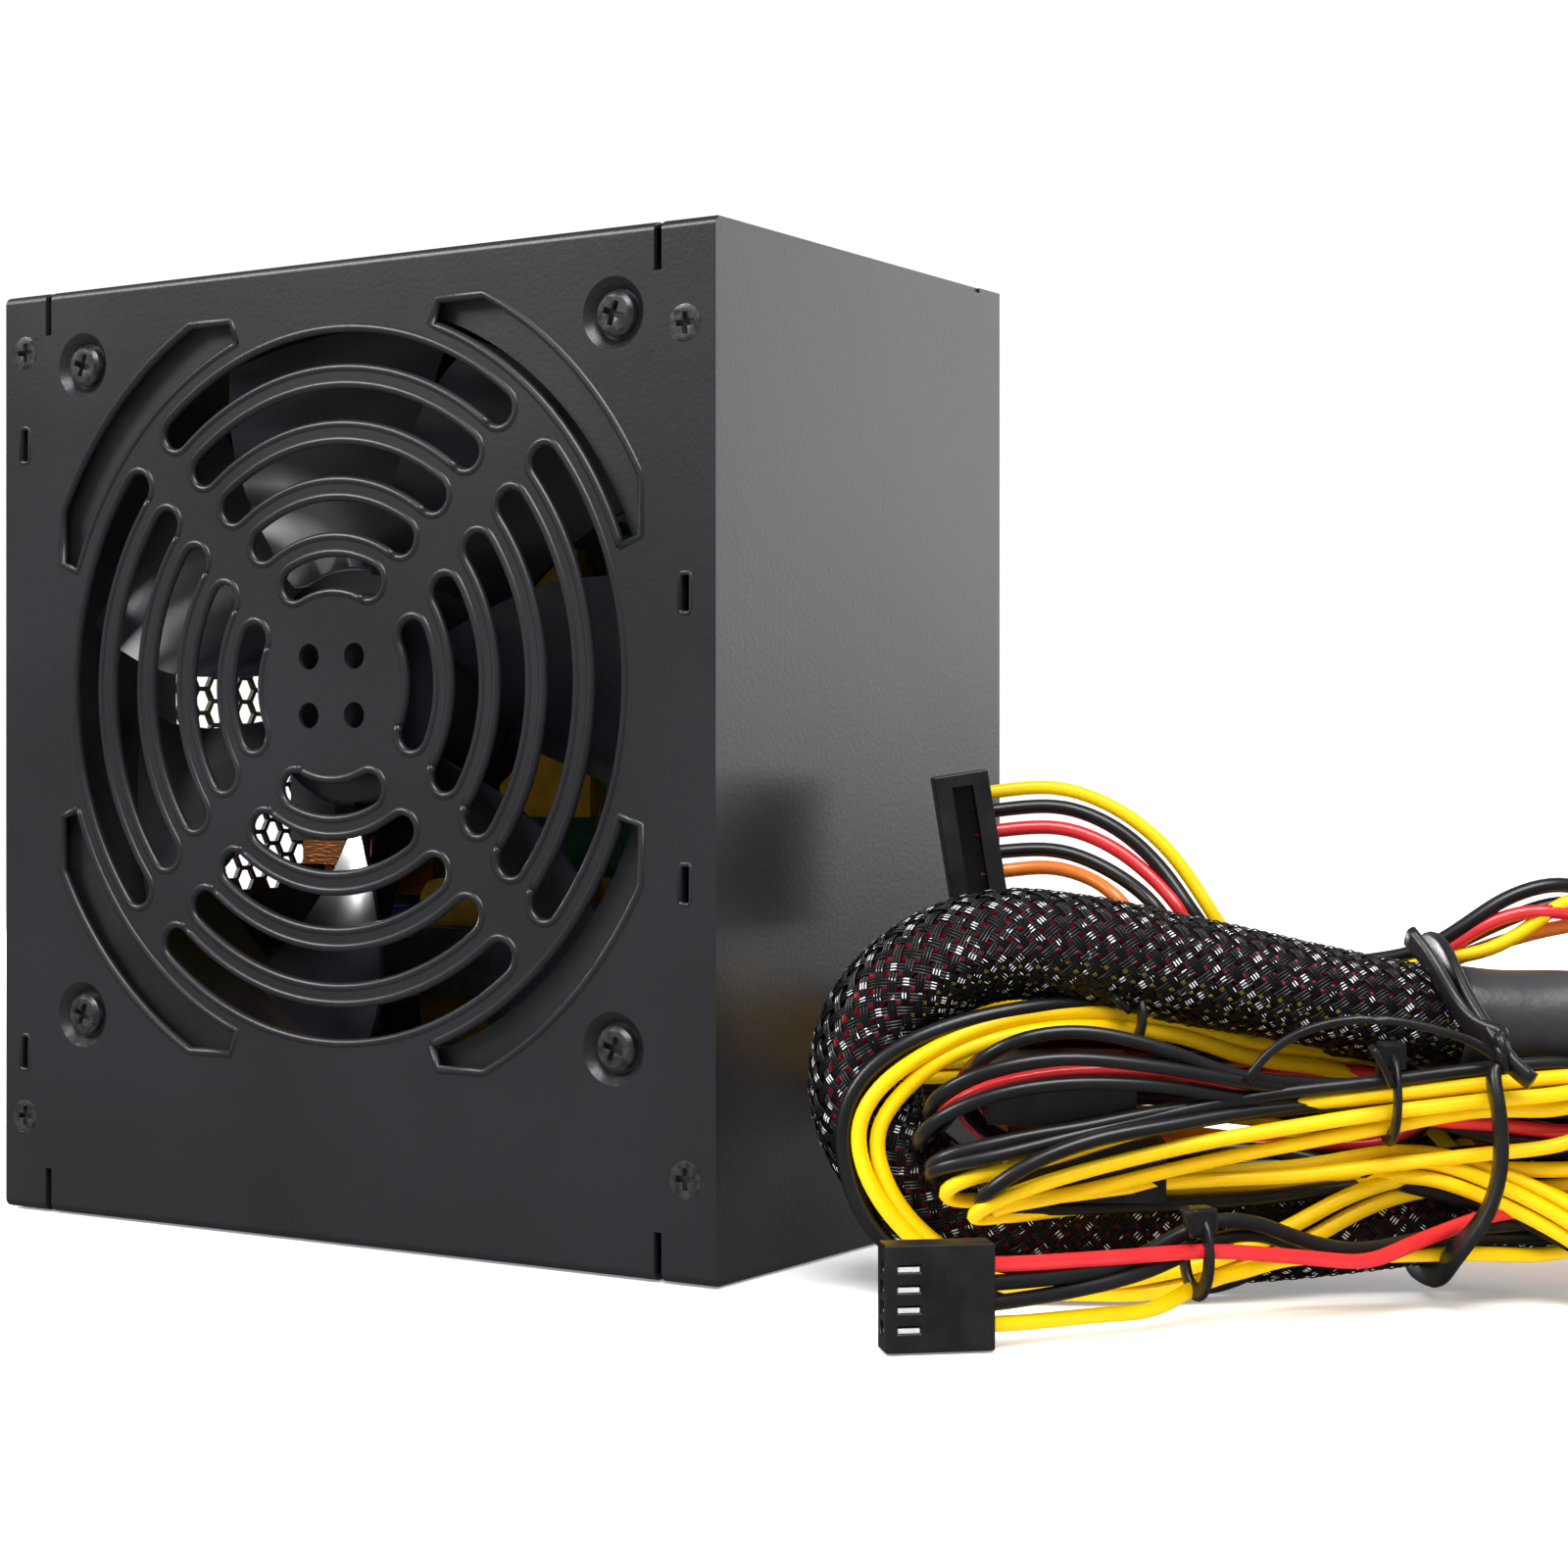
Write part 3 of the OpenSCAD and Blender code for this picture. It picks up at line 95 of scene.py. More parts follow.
world = bpy.data.worlds.new("studio_air")
bpy.context.scene.world = world
world.use_nodes = True
sky = world.node_tree.nodes["Background"]
sky.inputs["Color"].default_value = (1, 1, 1, 1)
seen_white = world.node_tree.nodes.new("ShaderNodeLightPath")
sky_level = [world.node_tree.nodes.new("ShaderNodeMath") for _ in range(2)]
for level, ray, share, base in zip(sky_level, ("Is Camera Ray", "Is Glossy Ray"), (0.60, -0.22), (0.45, 0)):
    level.operation = "MULTIPLY_ADD"
    level.inputs[1].default_value, level.inputs[2].default_value = share, base
    world.node_tree.links.new(seen_white.outputs[ray], level.inputs[0])
world.node_tree.links.new(sky_level[0].outputs[0], sky_level[1].inputs[2])
world.node_tree.links.new(sky_level[1].outputs[0], sky.inputs["Strength"])

for light_name, place, aim, power, size in (
    ("fan_face_light", (-0.88, -0.95, 0.95), (0, 0, 0.09), 17, 0.6),
    ("lead_side_light", (0.70, 1.05, 0.42), (0.07, 0, 0.10), 5.6, 0.8),
    ("top_light", (0.45, -0.55, 1.10), (0.10, 0, 0.03), 17, 0.7),
    ("mains_panel_light", (-0.75, 0.35, 0.13), (-0.07, 0, 0.09), 8, 0.28),
):
    lamp = bpy.data.lights.new(light_name, "AREA")
    lamp.energy, lamp.size = power, size
    lamp_object = bpy.data.objects.new(light_name, lamp)
    bpy.context.collection.objects.link(lamp_object)
    lamp_object.location = place
    lamp_object.rotation_euler = (Vector(aim) - Vector(place)).to_track_quat("-Z", "Y").to_euler()

# --- Wire and its insulation ------------------------------------------------
# Stranded copper in extruded PVC: a glossy skin with a fine grain and a slightly uneven
# colour. Both come from one node group, which every plain finish here shares.


def socketed_group(name, ins, outs):
    group = bpy.data.node_groups.new(name, "ShaderNodeTree")
    for socket_name, kind, value in ins:
        socket = group.interface.new_socket(socket_name, in_out="INPUT", socket_type=kind)
        if value is not None:
            socket.default_value = value
    for socket_name, kind in outs:
        group.interface.new_socket(socket_name, in_out="OUTPUT", socket_type=kind)
    return group, group.nodes.new("NodeGroupInput"), group.nodes.new("NodeGroupOutput")


# Slow mottling and fine grain on an object's own coordinates, as a 0..1 mask each.
mottle_group, g_in, g_out = socketed_group(
    "surface_mottle",
    [("Patch Scale", "NodeSocketFloat", 60.0), ("Grain Scale", "NodeSocketFloat", 1500.0),
     ("Stretch", "NodeSocketVector", (1, 1, 1))],
    [("Patches", "NodeSocketFloat"), ("Grain", "NodeSocketFloat")])
g_coord = mottle_group.nodes.new("ShaderNodeTexCoord")
g_drawn = mottle_group.nodes.new("ShaderNodeVectorMath")
g_drawn.operation = "MULTIPLY"
mottle_group.links.new(g_coord.outputs["Object"], g_drawn.inputs[0])
mottle_group.links.new(g_in.outputs["Stretch"], g_drawn.inputs[1])
for g_socket, g_result, g_detail in (("Patch Scale", "Patches", 4.0), ("Grain Scale", "Grain", 2.0)):
    g_noise = mottle_group.nodes.new("ShaderNodeTexNoise")
    g_noise.inputs["Detail"].default_value = g_detail
    mottle_group.links.new(g_drawn.outputs["Vector"], g_noise.inputs["Vector"])
    mottle_group.links.new(g_in.outputs[g_socket], g_noise.inputs["Scale"])
    mottle_group.links.new(g_noise.outputs["Fac"], g_out.inputs[g_result])


def finish_of(name, dark, light, rough=(0.4, 0.5), patch=60.0, grain=1500.0, bump=0.1,
              bump_size=0.0002, metal=0.0, coat=0.0, stretch=(1, 1, 1), **constants):
    """A material whose colour and roughness drift between two values, with fine grain."""
    material = bpy.data.materials.new(name)
    material.use_nodes = True
    tree = material.node_tree
    shader = tree.nodes["Principled BSDF"]
    mottle = tree.nodes.new("ShaderNodeGroup")
    mottle.node_tree = mottle_group
    mottle.inputs["Patch Scale"].default_value = patch
    mottle.inputs["Grain Scale"].default_value = grain
    mottle.inputs["Stretch"].default_value = stretch
    tint = tree.nodes.new("ShaderNodeValToRGB")
    tint.color_ramp.elements[0].position, tint.color_ramp.elements[1].position = 0.32, 0.68
    tint.color_ramp.elements[0].color = (*dark, 1)
    tint.color_ramp.elements[1].color = (*light, 1)
    gloss = tree.nodes.new("ShaderNodeMapRange")
    gloss.inputs["To Min"].default_value, gloss.inputs["To Max"].default_value = rough
    relief = tree.nodes.new("ShaderNodeBump")
    relief.inputs["Strength"].default_value = bump
    relief.inputs["Distance"].default_value = bump_size
    tree.links.new(mottle.outputs["Patches"], tint.inputs["Fac"])
    tree.links.new(mottle.outputs["Patches"], gloss.inputs["Value"])
    tree.links.new(mottle.outputs["Grain"], relief.inputs["Height"])
    tree.links.new(tint.outputs["Color"], shader.inputs["Base Color"])
    tree.links.new(gloss.outputs["Result"], shader.inputs["Roughness"])
    tree.links.new(relief.outputs["Normal"], shader.inputs["Normal"])
    shader.inputs["Metallic"].default_value = metal
    shader.inputs["Coat Weight"].default_value = coat
    for socket_name, value in constants.items():
        shader.inputs[socket_name.replace("_", " ")].default_value = value
    return material


def dress(material, *names):
    for name in names:
        nodes[name].data.materials.clear()
        nodes[name].data.materials.append(material)


def round_edges(width, *names):
    """Small rounds on the sharp edges of stamped and moulded parts, as on the real ones."""
    for name in names:
        node = nodes[name]
        join = node.modifiers.new("join", "WELD")
        join.merge_threshold = 0.000005
        rounds = node.modifiers.new("rounds", "BEVEL")
        rounds.width, rounds.segments, rounds.angle_limit = width, 2, math.radians(38)
        shading = node.modifiers.new("shading", "WEIGHTED_NORMAL")
        shading.keep_sharp = False


wire_yellow = finish_of("pvc_yellow", (0.90, 0.55, 0.0), (0.96, 0.63, 0.0), (0.30, 0.40), 90, 900, 0.05,
                        Specular_IOR_Level=0.25)
wire_black = finish_of("pvc_black", (0.005, 0.005, 0.006), (0.010, 0.010, 0.012), (0.28, 0.38), 90, 900, 0.05)
wire_red = finish_of("pvc_red", (0.62, 0.012, 0.018), (0.78, 0.03, 0.035), (0.26, 0.36), 90, 900, 0.05,
                     coat=0.25)
wire_orange = finish_of("pvc_orange", (0.80, 0.17, 0.02), (0.90, 0.25, 0.03), (0.26, 0.36), 90, 900, 0.05,
                        coat=0.25)

# --- The main lead: its wires in a braided sleeve -----------------------------
# The wires for the main board in an expanded polyester braid, shrunk down with a tube
# before the plug. The lead leaves the bush, doubles back low and folds over the top.

UP = Vector((0, 0, 1))
HANK_FOOT = Vector((0.080, -0.034, 0))
HANK_TURN = Matrix.Rotation(math.radians(31), 3, "Z")


def hank_points(points):
    """Points in millimetres along, across and above the hank, as metres in the frame."""
    return [HANK_FOOT + HANK_TURN @ Vector(p) * 0.001 for p in points]


def smooth_line(points, step):
    """An even, rounded line through the points: a centripetal spline, then spaced out."""
    pts = [Vector(p) for p in points]
    pts = [pts[0] * 2 - pts[1]] + pts + [pts[-1] * 2 - pts[-2]]
    dense = []
    for a, b, c, d in zip(pts, pts[1:], pts[2:], pts[3:]):
        t1 = max((b - a).length, 1e-6) ** 0.5
        t2 = t1 + max((c - b).length, 1e-6) ** 0.5
        t3 = t2 + max((d - c).length, 1e-6) ** 0.5
        count = max(4, int((c - b).length / step * 2))
        for k in range(count):
            t = t1 + (t2 - t1) * k / count
            a1 = a.lerp(b, t / t1)
            a2 = b.lerp(c, (t - t1) / (t2 - t1))
            a3 = c.lerp(d, (t - t2) / (t3 - t2))
            b1 = a1.lerp(a2, t / t2)
            b2 = a2.lerp(a3, (t - t1) / (t3 - t1))
            dense.append(b1.lerp(b2, (t - t1) / (t2 - t1)))
    dense.append(pts[-2])
    reach = [0.0]
    for a, b in zip(dense, dense[1:]):
        reach.append(reach[-1] + (b - a).length)
    count = max(2, round(reach[-1] / step))
    line, j = [], 0
    for k in range(count + 1):
        at = reach[-1] * k / count
        while j < len(reach) - 2 and reach[j + 1] < at:
            j += 1
        share = (at - reach[j]) / max(reach[j + 1] - reach[j], 1e-9)
        line.append(dense[j].lerp(dense[j + 1], min(max(share, 0), 1)))
    for _ in range(6):
        line = [line[0]] + [(a + 2 * b + c) / 4 for a, b, c in zip(line, line[1:], line[2:])] + [line[-1]]
    return line


def carried_frames(line):
    """A tangent and two square directions at each point, carried along without twist."""
    frames = []
    side = UP
    for k, here in enumerate(line):
        ahead = (line[min(k + 1, len(line) - 1)] - line[max(k - 1, 0)]).normalized()
        side = (side - ahead * side.dot(ahead)).normalized()
        frames.append((ahead, side, ahead.cross(side)))
    return frames


# How far wires lie from the middle of their bundle, in wire radii, by their number.
BUNDLE_RING = {4: 1.42, 5: 1.71, 7: 2.31}
BUNDLE_SLACK = 1.04
BUNDLE_TURNS_PER_METRE = 4.0


def bundled(route, count, wire_r):
    """A strand's points for each of count wires laid round one route, a little twisted."""
    ring = BUNDLE_RING[count] * wire_r * BUNDLE_SLACK
    line_frames = carried_frames(route)
    runs, gone = [[] for _ in range(count)], 0.0
    for k, (here, (_, side, other)) in enumerate(zip(route, line_frames)):
        gone += (here - route[k - 1]).length if k else 0
        for i in range(count):
            angle = math.tau * (i / count + gone * BUNDLE_TURNS_PER_METRE)
            runs[i].append(here + (side * math.cos(angle) + other * math.sin(angle)) * ring)
    return runs


def side_faces(rings, sides, first=0):
    """The faces between the rings of a tube, whose points start at first."""
    return [(p + i, p + (i + 1) % sides, p + sides + (i + 1) % sides, p + sides + i)
            for p in range(first, first + (rings - 1) * sides, sides) for i in range(sides)]


def closed_faces(rings, sides, first):
    """The faces between the rings of a tube, and one across each of its ends."""
    last = first + (rings - 1) * sides
    return side_faces(rings, sides, first) + [tuple(first + i for i in reversed(range(sides))),
                                              tuple(last + i for i in range(sides))]


def new_piece(name, points, faces, materials, slots=None):
    """A piece that rides on the case, smooth all over but for its tubes' flat ends."""
    mesh = bpy.data.meshes.new(name)
    mesh.from_pydata(points, [], faces)
    for material in materials:
        mesh.materials.append(material)
    if slots:
        mesh.polygons.foreach_set("material_index", slots)
    mesh.polygons.foreach_set("use_smooth", [len(p.vertices) == 4 for p in mesh.polygons])
    mesh.update()
    piece = bpy.data.objects.new(name, mesh)
    bpy.context.collection.objects.link(piece)
    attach(piece, "case")
    return piece


def wire_mesh(name, strands, radius, sides=8):
    """One mesh of many wires: strands is a list of (line, material)."""
    points, faces, slots, materials = [], [], [], []
    for line, material in strands:
        if material not in materials:
            materials.append(material)
        more_faces = closed_faces(len(line), sides, len(points))
        for here, (_, side, other) in zip(line, carried_frames(line)):
            for i in range(sides):
                a = math.tau * i / sides
                points.append(here + (side * math.cos(a) + other * math.sin(a)) * radius)
        faces += more_faces
        slots += [materials.index(material)] * len(more_faces)
    return new_piece(name, points, faces, materials, slots)


MIDDLE_STEPS = 260


def middle_of(lines):
    """The line down the middle of several strands."""
    middle = []
    for k in range(MIDDLE_STEPS + 1):
        total = Vector()
        for line in lines:
            at = k / MIDDLE_STEPS * (len(line) - 1)
            j = min(int(at), len(line) - 2)
            total += line[j].lerp(line[j + 1], at - j)
        middle.append(total / len(lines))
    return middle


# The way from the bush behind the hank to its far end, as the part's source has it.
TRUNK = [Vector(p) * 0.001 for p in (
    (66, 8, 30), (72, 8, 30), (79, 8.2, 30.5), (87, 9.5, 32), (96, 12.5, 34), (104, 16.5, 35),
    (115, 23, 35), (126, 30, 34), (137, 37, 32), (148, 44, 30), (158, 49.5, 28))]


def beside_trunk(across, up):
    """The trunk's route moved sideways, so that the leads lie next to each other in it."""
    moved = []
    for here, (ahead, _, _) in zip(TRUNK, carried_frames(TRUNK)):
        level = ahead.cross(UP).normalized()
        moved.append(here + (level * across + UP * up) * 0.001)
    return moved


main_route = beside_trunk(-2.5, -1.5) + hank_points((
    (121, 29.5, 24), (131, 27, 22), (139, 21, 20), (142.5, 13, 18), (140, 5.5, 16), (133, 1.5, 14.8),
    (121, 0, 14.2), (106, 0, 13.6), (84, 0, 11), (64, 0, 8.8), (46, 0, 8.2), (31, 0, 8.6),
    (20, 0, 11.4), (11.5, 0, 18), (7.6, 0, 27.5), (9.5, 0, 37), (16.5, 0, 44.3), (26.5, 0, 47.9),
    (38, 0, 47.1), (49, 0, 45), (60, 0, 43), (72, 0, 40.6), (84, 0, 38.4), (95, 0, 37.4),
    (106, 0, 37), (120, 0, 36)))
main_line = smooth_line(main_route, 0.00068)
SLEEVE_SHARE = 0.965  # of the line, so that the sleeve ends inside the shrunk tube
sleeve_line = main_line[:int(len(main_line) * SLEEVE_SHARE)]

# The braid: flat bundles of monofilament woven over and under each other.
BRAID_STRANDS = 18
BRAID_PITCH = 0.0486
BRAID_HALF_WIDTH = 0.00062
BRAID_LIFT = 0.00020
BRAID_CROWN = 0.00012


def sleeve_radius(share):
    """The braid is tight in the bush, full in the folds, and drawn in under the tie."""
    ends = ((0.0, 5.6), (0.08, 5.9), (0.2, 7.0), (0.45, 7.35), (0.72, 7.75), (0.84, 7.6),
            (0.93, 6.9), (1.0, 6.8))
    for (a, ra), (b, rb) in zip(ends, ends[1:]):
        if share <= b:
            t = (share - a) / (b - a)
            return (ra + (rb - ra) * t * t * (3 - 2 * t)) * 0.001
    return ends[-1][1] * 0.001


def braid_mesh(name, line, material):
    """The woven bundles: each has an edge, a crown and an edge, and rides over or under."""
    points, faces, uvs = [], [], []
    line_frames = carried_frames(line)
    step = (line[1] - line[0]).length
    for turn in (1, -1):
        for strand in range(BRAID_STRANDS):
            first = len(points)
            for k, (here, (ahead, side, other)) in enumerate(zip(line, line_frames)):
                wraps = k * step / BRAID_PITCH
                angle = math.tau * (turn * wraps + strand / BRAID_STRANDS)
                lift = turn * math.cos(math.tau * BRAID_STRANDS * wraps) * BRAID_LIFT
                radius = sleeve_radius(k / len(line)) + lift
                out = side * math.cos(angle) + other * math.sin(angle)
                run = (ahead + ahead.cross(out) * turn * math.tau * radius / BRAID_PITCH).normalized()
                across = out.cross(run) * BRAID_HALF_WIDTH
                spine = here + out * radius
                points += [spine - across, spine + out * BRAID_CROWN, spine + across]
            for k in range(len(line) - 1):
                v0, v1 = ((k + j) * step / BRAID_PITCH * BRAID_STRANDS + (0 if turn > 0 else 0.5)
                          for j in (0, 1))
                for i in range(2):
                    p = first + 3 * k + i
                    faces.append((p, p + 1, p + 4, p + 3))
                    uvs += [i / 2, v0, (i + 1) / 2, v0, (i + 1) / 2, v1, i / 2, v1]
    piece = new_piece(name, points, faces, [material])
    piece.data.uv_layers.new(name="along_the_strand").data.foreach_set("uv", uvs)
    return piece


braid_black = bpy.data.materials.new("braid_black")
braid_black.use_nodes = True
tree = braid_black.node_tree
shader = tree.nodes["Principled BSDF"]
uv_map = tree.nodes.new("ShaderNodeUVMap")
uv_map.uv_map = "along_the_strand"
split = tree.nodes.new("ShaderNodeSeparateXYZ")
tree.links.new(uv_map.outputs["UV"], split.inputs["Vector"])


def maths(operation, a, b=None):
    """A Math node in the tree being built; numbers and sockets both work as inputs."""
    node = tree.nodes.new("ShaderNodeMath")
    node.operation = operation
    for socket, value in zip(node.inputs, (a, b)):
        if isinstance(value, (int, float)):
            socket.default_value = value
        elif value is not None:
            tree.links.new(value, socket)
    return node.outputs[0]


# Three filaments lie side by side in each bundle, and their relief catches the real light; on the bundles'
# crowns the colour also gets near-white dashes, a painted highlight.
filaments = maths("ABSOLUTE", maths("SINE", maths("MULTIPLY", split.outputs["X"], 3 * math.pi)))
crown = maths("COSINE", maths("MULTIPLY", split.outputs["Y"], math.tau))
speckle = tree.nodes.new("ShaderNodeTexNoise")
speckle.inputs["Scale"].default_value = 420
speckle.inputs["Detail"].default_value = 1
place = tree.nodes.new("ShaderNodeTexCoord")
tree.links.new(place.outputs["Object"], speckle.inputs["Vector"])
# Painted highlight: where a crown and the filaments' speckle meet, the black base colour turns near-white.
painted_glint_mask = maths("MULTIPLY", maths("GREATER_THAN", crown, 0.80),
              maths("GREATER_THAN", maths("MULTIPLY", filaments, speckle.outputs["Fac"]), 0.52))
painted_glint_mix = tree.nodes.new("ShaderNodeMix")
painted_glint_mix.data_type = "RGBA"
painted_glint_mix.inputs["A"].default_value = (0.004, 0.004, 0.005, 1)
painted_glint_mix.inputs["B"].default_value = (0.86, 0.84, 0.86, 1)
tree.links.new(painted_glint_mask, painted_glint_mix.inputs["Factor"])
tree.links.new(painted_glint_mix.outputs["Result"], shader.inputs["Base Color"])
relief = tree.nodes.new("ShaderNodeBump")
relief.inputs["Strength"].default_value = 0.8
relief.inputs["Distance"].default_value = 0.0002
tree.links.new(filaments, relief.inputs["Height"])
tree.links.new(relief.outputs["Normal"], shader.inputs["Normal"])
shader.inputs["Roughness"].default_value = 0.34
shader.inputs["Specular IOR Level"].default_value = 0.35

main_lead = braid_mesh("main_lead_sleeve", sleeve_line, braid_black)

# Twelve of its wires, in one layer just under the braid, show between the bundles. Their red and yellow are
# darker, duller copies of the red and yellow insulation: painted shade for the dark inside of the sleeve.
INNER_WIRE_RADIUS, INNER_WIRE_DEPTH, INNER_WIRE_SWAY = 0.0014, 0.0020, 0.12
wire_red_painted_shade = finish_of("pvc_red_painted_shade_in_sleeve", (0.42, 0.010, 0.018), (0.55, 0.02, 0.03), (0.4, 0.5), 90, 900,
                          0.05)
wire_yellow_painted_shade = finish_of("pvc_yellow_painted_shade_in_sleeve", (0.42, 0.30, 0.01), (0.55, 0.40, 0.02), (0.4, 0.5), 90, 900,
                       0.05)
inner_colours = [wire_black, wire_black, wire_yellow_painted_shade, wire_red_painted_shade, wire_red_painted_shade, wire_black,
                 wire_black, wire_red_painted_shade, wire_red_painted_shade, wire_red_painted_shade, wire_yellow_painted_shade, wire_yellow_painted_shade]
inner_line = smooth_line(main_line[::12] + [main_line[-1]], 0.003)
inner_frames = carried_frames(inner_line)
inner_strands = []
for i, colour in enumerate(inner_colours):
    run = []
    for k, (here, (_, side, other)) in enumerate(zip(inner_line, inner_frames)):
        angle = math.tau * (i / len(inner_colours) + INNER_WIRE_SWAY * math.sin(k * 0.02))
        run.append(here + (side * math.cos(angle) + other * math.sin(angle))
                   * (sleeve_radius(k / len(inner_line)) - INNER_WIRE_DEPTH))
    inner_strands.append((run, colour))
main_wires = wire_mesh("main_lead_wires", inner_strands, INNER_WIRE_RADIUS)

# The shrunk tube, slightly rippled over the wires under it.
TUBE_SIDES, TUBE_RADIUS, TUBE_RIPPLE = 40, 0.0073, 0.00035
shrink_line = smooth_line(hank_points((
    (90, 0, 37.9), (95, 0, 37.5), (101, 0, 37.2), (106, 0, 37), (112, 0, 36.6), (119, 0, 36.1))), 0.001)
rubber_tube = finish_of("shrink_tube", (0.028, 0.028, 0.032), (0.05, 0.05, 0.056), (0.32, 0.45), 70, 500,
                        0.25, 0.0004)
shrink_points = []
for k, (here, (_, side, other)) in enumerate(zip(shrink_line, carried_frames(shrink_line))):
    share = k / (len(shrink_line) - 1)
    for i in range(TUBE_SIDES):
        a = math.tau * i / TUBE_SIDES
        ripple = noise.noise(Vector((math.cos(a) * 1.2, math.sin(a) * 1.2, share * 3))) * TUBE_RIPPLE
        shrink_points.append(here + (side * math.cos(a) + other * math.sin(a)) * (TUBE_RADIUS + ripple))
shrink_tube = new_piece("main_lead_shrink_tube", shrink_points, side_faces(len(shrink_line), TUBE_SIDES),
                        [rubber_tube])
wall = shrink_tube.modifiers.new("wall", "SOLIDIFY")
wall.thickness = 0.0006
wall.offset = -1

# Past the tube 24 wires fan out to the two rows of the plug.
PLUG_PITCH, PLUG_FIRST_ROW, LEAD_END_HEIGHT = 4.2, 2.7, 36
FAN_WIRE_RADIUS = 0.00095
fan_out = []
fan_colours = [wire_orange, wire_orange, wire_black, wire_red, wire_black, wire_red, wire_black,
               wire_black, wire_black, wire_yellow, wire_yellow, wire_orange]
for row in (0, 1):
    for i, colour in enumerate(fan_colours):
        a = math.tau * (i + row * 0.5) / 12
        reach = 5.2 if i % 2 else 3.0
        place_n, place_z = reach * math.cos(a), LEAD_END_HEIGHT + reach * math.sin(a)
        cell_n, cell_z = (i - 5.5) * PLUG_PITCH, PLUG_FIRST_ROW + PLUG_PITCH * row
        fan_out.append((smooth_line(hank_points((
            (116, place_n, place_z), (121, place_n, place_z), (132, place_n * 1.2,
                LEAD_END_HEIGHT + (place_z - LEAD_END_HEIGHT) * 0.8),
            (145, place_n + (cell_n - place_n) * 0.35, 27 + row),
            (156, place_n + (cell_n - place_n) * 0.75, 14 + row * 2),
            (165, cell_n, cell_z + 1.5), (172.5, cell_n, cell_z), (176, cell_n, cell_z))), 0.0015),
            colour if row else fan_colours[-1 - i]))
main_fan_out = wire_mesh("main_lead_fan_out", fan_out, FAN_WIRE_RADIUS)
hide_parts("lead_trunk", "main_tail")

# --- The other leads --------------------------------------------------------
# Loose wires. The processor, graphics, drive and serial-drive leads run beside the trunk
# and double back through the hank; the daisy and floppy leads go on from plug to plug.


def lead_of(name, trunk_place, far_end_route, visible, tail, wire_r):
    """A lead of loose wires: bundled behind the hank, then each wire on its own points."""
    count = len(visible)
    hidden = (beside_trunk(*trunk_place) if trunk_place else []) + hank_points(far_end_route)
    starts = bundled(hidden, count, wire_r)
    ends = bundled(hank_points(tail), count, wire_r) if tail else [[] for _ in range(count)]
    strands = [smooth_line(start + hank_points(seen) + end, 0.0014)
               for start, (seen, _), end in zip(starts, visible, ends)]
    piece = wire_mesh(name, [(line, colour) for line, (_, colour) in zip(strands, visible)], wire_r)
    return piece, middle_of(strands)


processor_lead, processor_middle = lead_of(
    "processor_lead", (4.9, 3.2),
    ((121, 37, 31), (133, 34, 33), (143, 25, 34), (146, 13, 32), (142, 2, 28), (134, -6, 24), (120, -9, 20)),
    [([(103, -9, 18), (91.5, -9.5, 18), (81, -10, 17), (73, -10.5, 14.5), (64.5, -11, 10), (55, -12, 6),
       (45, -13, 3.8), (34.5, -13, 2.6), (25, -12, 3), (17, -10.5, 6), (10.5, -10, 12), (7, -9.5, 18.5),
       (6.5, -9, 24), (9.5, -9, 29), (15, -8.5, 33), (22, -7.5, 36.5), (29, -6, 38.2), (36.5, -4, 38.8),
       (44.5, -2, 38.2), (52.5, 1, 36.5), (61, 4, 34)], wire_yellow),
     ([(103.5, -7, 15.5), (92, -7.5, 15.5), (83, -8.5, 15), (75, -9, 12.4), (67, -10, 8), (57.5, -11, 4.4),
       (46.5, -12, 1.5), (36.5, -12.5, 1.5), (27, -12, 2), (19.5, -10, 6), (13, -9.5, 11.5), (9.5, -9, 18),
       (9, -8.5, 23), (12, -8.5, 27.5), (17, -8, 32), (23, -7.5, 34.6), (29.5, -6.5, 36.2), (36.5, -5, 36.8),
       (44.5, -3, 36.4), (52.5, 0, 35), (61, 3, 32)], wire_yellow),
     ([(104, -6, 20), (92, -7, 20), (83, -8, 19), (73.5, -8, 14), (64.5, -8.5, 8), (55, -9.5, 4),
       (44, -10.5, 1.6), (33, -10.6, 1.5), (23.5, -10.2, 1.6), (15.5, -9, 3.8), (8, -9, 10),
       (4.9, -8.8, 17.5),
       (4.4, -8.6, 24), (6.6, -8.4, 29.5), (12.5, -8.2, 34.5), (20, -7.6, 37.5), (27.5, -6.5, 39.2),
       (36, -4, 40), (45, 0, 39.5), (53, 4, 38), (61.5, 6, 36)], wire_black),
     ([(104.5, -4, 17), (92.5, -5, 17), (84.5, -6, 16), (75, -6.5, 11), (65.5, -7, 6.5), (56.5, -8, 2),
       (45.5, -8.5, 1.5), (34.5, -8.4, 1.5), (24.5, -8, 1.6), (16.5, -7.5, 3), (9, -7.5, 9),
       (6.4, -7.6, 16.5),
       (6, -7.4, 23), (8, -7.2, 28.5), (13.2, -7, 33.3), (20, -6.4, 36), (27.5, -4.8, 37.4),
       (36, -2, 37.6), (45, 2, 37), (53, 5, 35.5), (62, 7, 33.5)], wire_black)],
    ((80, 9, 28), (92, 11, 18), (99, 14, 9), (104, 22, 7), (109, 35, 6), (114, 43, 5), (120, 46, 5)),
    0.00115)
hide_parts("processor_tail")

